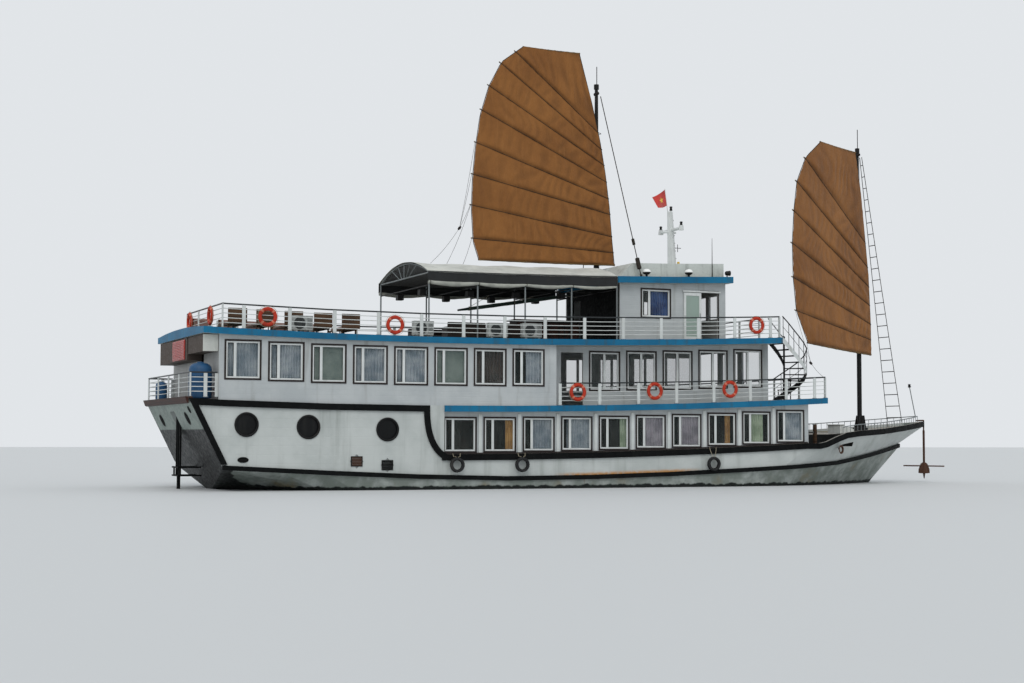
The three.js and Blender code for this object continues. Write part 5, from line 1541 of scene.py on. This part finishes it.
# %% Tyre fenders on their ropes
rubber = weathered("tyre_rubber", "17181a", 0.75, 0.4, lumps=0.01, grime="4d4b45")
for i, x in enumerate((-7.61, -4.76, 4.22)):
    bench = Bench()
    profile = [
        (-0.075, 0.2), (-0.085, 0.24), (-0.085, 0.275), (-0.07, 0.3), (-0.05, 0.306), (-0.045, 0.298),
        (-0.035, 0.306), (-0.005, 0.31), (0, 0.3), (0.005, 0.31), (0.035, 0.306), (0.045, 0.298),
        (0.05, 0.306), (0.07, 0.3), (0.085, 0.275), (0.085, 0.24), (0.075, 0.2), (0.055, 0.19),
        (0.05, 0.25), (0, 0.27), (-0.05, 0.25), (-0.055, 0.19)
    ]
    centre = Vector((x, -4.39, 0.99))
    rings = []
    for k in range(56):
        t = math.tau * k / 56
        ring = []
        for d, r in profile:
            groove = 0.008 if r > 0.29 and k % 2 else 0
            ring.append(centre + Vector(((r - groove) * math.cos(t), d, (r - groove) * math.sin(t))))
        rings.append(ring)
    bench.skin(rings, 0, loop=True)
    top = deck("main", x)
    for s in (-1, 1):
        rope = [centre + Vector((s * 0.05, 0, 0.19)), centre + Vector((s * 0.06, 0, 0.33))]
        rope += [(x + s * 0.14, -4.33, top - 0.1), (x + s * 0.16, -4.3, top + 0.03)]
        bench.bar(rope, 0.012, 6, paint=1)
    bench.make(f"tyre_fender_{i + 1}", [rubber, rope_pale], replaces=[f"fender_{i + 1}"])

# %% [markdown]
# ## Things on deck
# Cooling units, the bar with its stools, tanks on the gallery, the windlass and the hatch. They
# are small, but the rails let them show, and from above they fill the decks.

# %% Cooling units
unit_white = weathered("unit_white", "a2a6a4", 0.5, 0.4)
fan_dark = weathered("fan_dark", "2b2f30", 0.5, 0.2)
for i, x in enumerate((-13.96, -8.91, -5.66, -4.13)):
    z = deck("sun", x) + 0.012
    bench = Bench()
    bench.board((x - 0.42, -3.98, z + 0.06), (x + 0.42, -3.66, z + 0.64), 0, 0.02)
    bench.board((x - 0.425, -3.985, z + 0.6), (x + 0.425, -3.655, z + 0.645), 0, 0.008)
    for d in (-0.3, 0.3):
        bench.post(x + d, -3.82, z, z + 0.06, 0.05, 0.18, 2, 0.006)
    centre = Vector((x - 0.12, -3.99, z + 0.35))
    bench.turned(
        centre + Vector((0, 0.008, 0)), (0, -1, 0),
        [(0, 0.225), (0.01, 0.225), (0.012, 0.2), (0.012, 0.01)], 36, 1
    )
    for r in (0.23, 0.13):
        ring = [centre + Vector((r * math.cos(t), -0.022, r * math.sin(t))) for t in turns(32)]
        bench.bar(ring, 0.0045, 6, paint=1, loop=True)
    for k in range(8):
        bench.board((x + 0.18, -3.99, z + 0.16 + 0.05 * k), (x + 0.38, -3.975, z + 0.175 + 0.05 * k), 1)
    bench.make(f"cooling_unit_{i + 1}", [unit_white, fan_dark, galvanised], replaces=[f"ac_unit_{i + 1}"])

# %% Bar, stools and the stern tanks
bench = Bench()
bar_z = deck("sun", -0.4) + 0.005
bench.board((-3.4, -0.6, bar_z), (-0.4, 0.2, bar_z + 0.94), 0, 0.015)
bench.board((-3.55, -0.75, bar_z + 0.945), (-0.25, 0.35, bar_z + 1.0), 1, 0.018)
for k in range(6):
    x = -3.34 + 0.5 * k
    for y in (-0.618, 0.602):
        bench.board((x, y, bar_z + 0.1), (x + 0.42, y + 0.016, bar_z + 0.86), 1, 0.006)
bench.make("bar", [wood_dark, wood_red], replaces=["bar_counter"])
bench = Bench()
stool = [(0, 0.2), (0.02, 0.2), (0.03, 0.03), (0.66, 0.03), (0.68, 0.17), (0.73, 0.18), (0.75, 0.15)]
for x in (-3.0, -2.2, -1.4):
    z = deck("sun", x)
    bench.turned((x, -1.25, z), UP, stool, 20)
    ring = [(x + 0.14 * math.cos(t), -1.25 + 0.14 * math.sin(t), z + 0.3) for t in turns(20)]
    bench.bar(ring, 0.012, 6, loop=True)
    bench.bar([(x, -1.25, z + 0.3), (x + 0.14, -1.25, z + 0.3)], 0.012, 6)
bench.make("bar_stools", steel_black)

tank_blue = weathered("tank_blue", "1d4a70", 0.5, 0.3, lumps=0.004)
for i, (x, y, radius, tall) in enumerate(((-17.83, -3.43, 0.44, 1.4), (-17.92, 3.65, 0.24, 0.86))):
    z = deck("middle", -18.3) + 0.008
    profile = [
        (0, 0.3), (0, 0.93), (0.02, 0.985), (0.05, 1.0), (0.2, 1.0), (0.21, 1.03), (0.235, 1.03),
        (0.245, 1.0), (0.4, 1.0), (0.41, 1.035), (0.44, 1.035), (0.45, 1.0), (0.6, 1.0), (0.61, 1.03),
        (0.635, 1.03), (0.645, 1.0), (0.8, 0.99), (0.87, 0.93), (0.92, 0.8), (0.955, 0.6), (0.975, 0.32),
        (0.975, 0.3), (1.0, 0.29), (1.0, 0.02)
    ]
    bench = Bench()
    bench.turned((x, y, z), UP, [(d * tall, r * radius) for d, r in profile], 40)
    handle = ((0.3, 0, 0.96), (0.3, 0.1, 1), (-0.3, 0.1, 1), (-0.3, 0, 0.96))
    bench.bar([(x + a * radius, y + b, z + c * tall) for a, b, c in handle], 0.014, 8, paint=1)
    bench.make(f"stern_tank_{i + 1}", [tank_blue, galvanised], replaces=[f"drum_{i + 1}"])

# %% Stern cabinets with ribbed fronts and a red louvre
cabinet_grey = weathered("cabinet_grey", "473e38", 0.6, 0.5, lumps=0.004)
cabinet_pale = weathered("cabinet_pale", "b4b7b2", 0.5, 0.4)
bench = Bench()
cab_top = deck("sun", -17.3) - 0.254
for y0, y1, depth, x0 in ((-1.31, 4.0, 0.9, -17.92), (-4.1, -1.315, 0.66, -17.88)):
    steps = int((y1 - y0) / 0.045)
    ribs = [0.018 if (k // 2) % 2 else 0.0 for k in range(steps + 1)]
    outline = [(x0 + rib, y0 + (y1 - y0) * k / steps) for k, rib in enumerate(ribs)]
    outline += [(-17.306, y1), (-17.306, y0)]
    bench.skin([[(x, y, z) for x, y in outline] for z in (cab_top - depth, cab_top - 0.002)])
frame_y = (-1.0, 1.3)
bench.board((-17.95, frame_y[0], cab_top - 0.85), (-17.922, frame_y[1], cab_top - 0.06), 1, 0.006)
for k in range(11):
    z = cab_top - 0.8 + 0.066 * k
    bench.board((-17.972, frame_y[0] + 0.05, z), (-17.95, frame_y[1] - 0.05, z + 0.04), 1, 0.006)
bench.board((-17.9, -4.118, cab_top - 0.66), (-17.31, -4.1, cab_top - 0.01), 2, 0.006)
bench.make("stern_lockers", [cabinet_grey, lamp_red, cabinet_pale], replaces=["stern_cabinets"])

bench = Bench()
z = deck("middle", -17.5)
bottle = [
    (0, 0.08), (0.02, 0.09), (0.42, 0.09), (0.48, 0.06), (0.52, 0.03), (0.56, 0.03), (0.58, 0.05),
    (0.62, 0.02)
]
for y in (-2.55, -2.25):
    bench.turned((-17.55, y, z + 0.01), UP, bottle, 20)
bench.board((-17.7, -2.0, z + 0.01), (-17.4, -1.65, z + 0.4), 0, 0.03)
bench.make("stern_bottles", lamp_red)

# %% Windlass, bitts, hatch and mast foot
iron_grey = weathered("iron_grey", "5e6160", 0.6, 0.5, 0.5, 0.006, grime="5a3a26")
bench = Bench()
base_z = 1.744
bench.board((10.45, -2.05, base_z), (11.5, 2.05, base_z + 0.07), 0, 0.02)
for side in (-1, 1):
    for x in (10.55, 11.0):
        bench.post(x, side * 1.9, base_z + 0.07, base_z + 0.97, 0.075, 0.075, 0, 0.02)
        bench.post(x, side * 1.9, base_z + 0.97, base_z + 1.0, 0.09, 0.09, 0, 0.012)
    bench.bar([(10.45, side * 1.9, base_z + 0.62), (11.1, side * 1.9, base_z + 0.62)], 0.045, 12, paint=1)
    outline = [
        (11.0, base_z + 0.07), (11.3, base_z + 0.07), (11.22, base_z + 0.5), (11.15, base_z + 0.55),
        (11.08, base_z + 0.5)
    ]
    bench.plate(outline, side * 0.4 - 0.04, side * 0.4 + 0.04, 1)
drum_line = [
    (-0.75, 0.13), (-0.73, 0.19), (-0.7, 0.19), (-0.68, 0.11), (-0.5, 0.1), (-0.46, 0.14), (-0.34, 0.14),
    (-0.32, 0.24), (-0.28, 0.24), (-0.26, 0.13), (0.26, 0.13), (0.28, 0.24), (0.32, 0.24), (0.34, 0.14),
    (0.46, 0.14), (0.5, 0.1), (0.68, 0.11), (0.7, 0.19), (0.73, 0.19), (0.75, 0.13)
]
bench.turned((11.15, 0, base_z + 0.42), (0, 1, 0), drum_line, 28, 1)
bench.make("windlass_and_bitts", [wood_floor, iron_grey], replaces=["windlass"])

hatch_white = weathered("hatch_white", "c9ccc9", 0.5, 0.4)
bench = Bench()
outline = [(12.14, 2.325), (12.9, 2.36), (12.9, 2.52), (12.3, 2.72), (12.14, 2.72)]
bench.plate(outline, -2.25, -1.25)
bench.board((12.1, -2.3, 2.715), (12.36, -1.2, 2.75), 0, 0.01)
bench.board((14.55, -0.24, 2.46), (15.1, 0.24, 2.62), 1, 0.02)
for side in (-1, 1):
    outline = [(14.6, 2.6), (15.06, 2.6), (14.96, 3.2), (14.72, 3.2)]
    bench.plate(outline, *sorted((side * 0.13, side * 0.17)), 1)
bench.turned((14.8, 0, 2.62), UP, [(0, 0.14), (0.01, 0.16), (0.12, 0.155), (0.14, 0.125)], 20, 1)
for k in range(5):
    r = 0.18 + 0.035 * k
    ring = [(13.4 + r * math.cos(t), 0.9 + r * math.sin(t), 2.42) for t in turns(28)]
    bench.bar(ring, 0.016, 6, paint=2, loop=True)
bench.make("foredeck_fittings", [hatch_white, steel_black, rope_pale])
dress("anchor", rust_iron)
dress("propeller", weathered("bronze", "7c6a3c", 0.35, 0.3, 0.9))
for name in ("main_stay_starboard", "main_stay_port"):
    dress(name, rope_dark)

# %% [markdown]
# ## Deck furniture with its cushions
# Slatted loungers stand on the open sun deck, sofas under the awning, and chairs at the front of
# the middle deck. The mattresses, seats and back cushions are blown up by a cloth simulation
# from a flat box, which gives them round shoulders and pulled-in sides.

# %% Cushions
lounger_cloth = cloth("mattress_cloth", "6e544d", "8e7168")
sofa_cloth = cloth("sofa_cloth", "2b2622", "443b34")


def swollen_block(name, size, voxel, limit):
    """A cushion's mesh around the origin, swollen by a cloth simulation with a limit on how far."""
    wide, long, tall = size
    bench = Bench()
    bench.board(
        (-wide / 2 + limit, -long / 2 + limit, -tall / 2 + limit * 0.6),
        (wide / 2 - limit, long / 2 - limit, tall / 2 - limit * 0.6), 0, 0.018
    )
    raw = bench.make(name + "_raw", lounger_cloth, body=None)
    remesh = raw.modifiers.new("remesh", "REMESH")
    remesh.mode = "VOXEL"
    remesh.voxel_size = voxel
    graph = bpy.context.evaluated_depsgraph_get()
    mesh = bpy.data.meshes.new_from_object(raw.evaluated_get(graph))
    raw.modifiers.clear()
    raw.data = mesh
    start = [v.co.copy() for v in mesh.vertices]
    puff = raw.modifiers.new("puff", "CLOTH")
    puff.settings.use_pressure = True
    puff.settings.uniform_pressure_force = 4
    puff.settings.effector_weights.gravity = 0
    puff.settings.quality = 4
    for number in range(1, 21):
        scene.frame_set(number)
    graph = bpy.context.evaluated_depsgraph_get()
    grown = bpy.data.meshes.new_from_object(raw.evaluated_get(graph))
    raw.modifiers.clear()
    for v, home in zip(grown.vertices, start):
        move = v.co - home
        if move.length > limit:
            v.co = home + move.normalized() * limit
    raw.data = grown
    scene.frame_set(1)
    return raw


def place_cushion(source, name, finish, matrix):
    """A copy of a swollen block, moved and turned to where it lies."""
    mesh = source.data.copy()
    mesh.transform(matrix)
    mesh.materials.clear()
    mesh.materials.append(finish)
    mesh.polygons.foreach_set("use_smooth", [True] * len(mesh.polygons))
    made = bpy.data.objects.new(name, mesh)
    scene.collection.objects.link(made)
    made.modifiers.new("round", "SUBSURF").levels = 1
    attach(made, "ship")
    return made


mattress = swollen_block("mattress", (0.6, 1.85, 0.09), 0.03, 0.02)
seat = swollen_block("seat", (0.6, 0.6, 0.13), 0.022, 0.025)
print("cushion meshes:", len(mattress.data.vertices), len(seat.data.vertices))

# %% Loungers, sofas and chairs
bench = Bench()
count = 0
for x in (-16.4, -15.28, -14.15, -12.95, -11.8):
    for y in (-2.3, 2.0):
        z = deck("sun", x)
        for edge in (x - 0.29, x + 0.29):
            bench.post(edge, y, z + 0.22, z + 0.29, 0.025, 0.95, 0, 0.008)
            for end in (-0.8, 0.8):
                bench.post(edge, y + end, z + 0.002, z + 0.22, 0.03, 0.03, 0, 0.006)
        for k in range(16):
            at = y - 0.9 + 0.115 * k
            bench.board((x - 0.265, at, z + 0.265), (x + 0.265, at + 0.07, z + 0.285), 0, 0.004)
        count += 1
        flat = Matrix.Translation((x, y, z + 0.335))
        place_cushion(mattress, f"mattress_{count}", lounger_cloth, flat)
        out = 1 if y > 0 else -1
        low, high = sorted((y + out * 1.06, y + out * 1.1))
        bench.board((x - 0.38, low, z + 0.26), (x + 0.38, high, z + 0.86), 0, 0.012)
        lean = Matrix.Rotation(math.radians(-out * 74), 4, "X") @ Matrix.Diagonal((1.28, 0.95, 0.9, 1))
        lean = Matrix.Translation((x, y + out * 0.975, z + 0.61)) @ lean
        place_cushion(seat, f"back_cushion_{count}", lounger_cloth, lean)
for x in (-14.85, -11.85):
    z = deck("sun", x)
    bench.board((x - 0.2, -2.0, z + 0.34), (x + 0.2, -1.5, z + 0.38), 0, 0.01)
    for dx in (-0.16, 0.16):
        for y in (-1.95, -1.55):
            bench.post(x + dx, y, z + 0.002, z + 0.34, 0.02, 0.02, 0, 0.005)
bench.make("loungers", wood_floor)

bench = Bench()
count = 0
for x, y, turned in ((-6.5, -2.2, 0), (-4.6, -2.2, 0), (-6.5, 2.0, 180), (-4.6, 2.0, 180)):
    z = deck("sun", x)
    s = 1 if turned else -1
    bench.board((x - 0.85, y - 0.36, z + 0.1), (x + 0.85, y + 0.36, z + 0.3), 0, 0.02)
    low, high = sorted((y + s * 0.28, y + s * 0.4))
    bench.board((x - 0.85, low, z + 0.3), (x + 0.85, high, z + 0.74), 0, 0.025)
    for e in (-0.85, 0.75):
        bench.board((x + e, y - 0.36, z + 0.3), (x + e + 0.1, y + 0.36, z + 0.56), 0, 0.02)
    for e in (-0.78, 0.74):
        for f in (-0.32, 0.28):
            bench.board((x + e, y + f, z + 0.002), (x + e + 0.05, y + f + 0.05, z + 0.1), 0, 0.006)
    for k in (-0.37, 0.37):
        count += 1
        flat = Matrix.Translation((x + k, y - s * 0.06, z + 0.375)) @ Matrix.Scale(1.2, 4, (1, 0, 0))
        place_cushion(seat, f"sofa_cushion_{count}", sofa_cloth, flat)
bench.make("sofas", wood_dark)

bench = Bench()
for x, y, faces_port in ((8.9, -0.6, 1), (8.9, 1.0, -1), (9.5, -1.7, 1)):
    z = deck("middle", x)
    for dx in (-0.2, 0.2):
        for dy in (-0.2, 0.2):
            bench.post(x + dx, y + dy, z + 0.003, z + 0.42, 0.02, 0.02, 0, 0.005)
    bench.post(x, y, z + 0.42, z + 0.46, 0.24, 0.24, 0, 0.012)
    back = y - faces_port * 0.22
    for dx in (-0.2, -0.1, 0, 0.1, 0.2):
        bench.post(x + dx, back, z + 0.46, z + 0.86, 0.018, 0.015, 0, 0.005)
    bench.post(x, back, z + 0.84, z + 0.92, 0.24, 0.02, 0, 0.01)
table = [
    (0, 0.26), (0.03, 0.26), (0.05, 0.04), (0.66, 0.04), (0.68, 0.2), (0.69, 0.4), (0.72, 0.41),
    (0.73, 0.39)
]
bench.turned((8.9, 0.2, deck("middle", 8.9) + 0.003), UP, table, 32)
bench.make("foredeck_chairs", wood_dark)
for source in (mattress, seat):
    bpy.data.objects.remove(source)

# %% Bundled awning slung under the canopy
green = cloth("bundle_green", "1d2f2a", "2f463d")
bench = Bench()
rings = []
low_end, high_end = Vector((-5.57, 0.9, 7.66)), Vector((-0.2, 0.9, 8.5))
for i in range(61):
    t = i / 60
    p = low_end.lerp(high_end, t)
    size = 0.085 * (0.5 + min(1, 6 * t, 6 * (1 - t)) * 0.5) + 0.012 * noise.noise(Vector((t * 14, 2, 0)))
    ring = []
    for a in turns(14):
        up = size * math.sin(a) * (1 + 0.1 * math.sin(3 * a))
        ring.append(p + Vector((0, size * math.cos(a), up)))
    rings.append(ring)
bench.skin(rings)
made = bench.make("awning_bundle", green, smooth=80)
bench = Bench()
for t in (0.1, 0.5, 0.9):
    p = low_end.lerp(high_end, t)
    x = min(CANOPY_POSTS, key=lambda at: abs(at - p.x))
    bench.bar([p + Vector((0, 0, 0.06)), (x, 0.9, deck("eave", x) - 0.58)], 0.01, 6)
    ring = [p + Vector((0, 0.095 * math.cos(a), 0.095 * math.sin(a))) for a in turns(16)]
    bench.bar(ring, 0.01, 6, loop=True)
bench.make("bundle_slings", rope_pale)
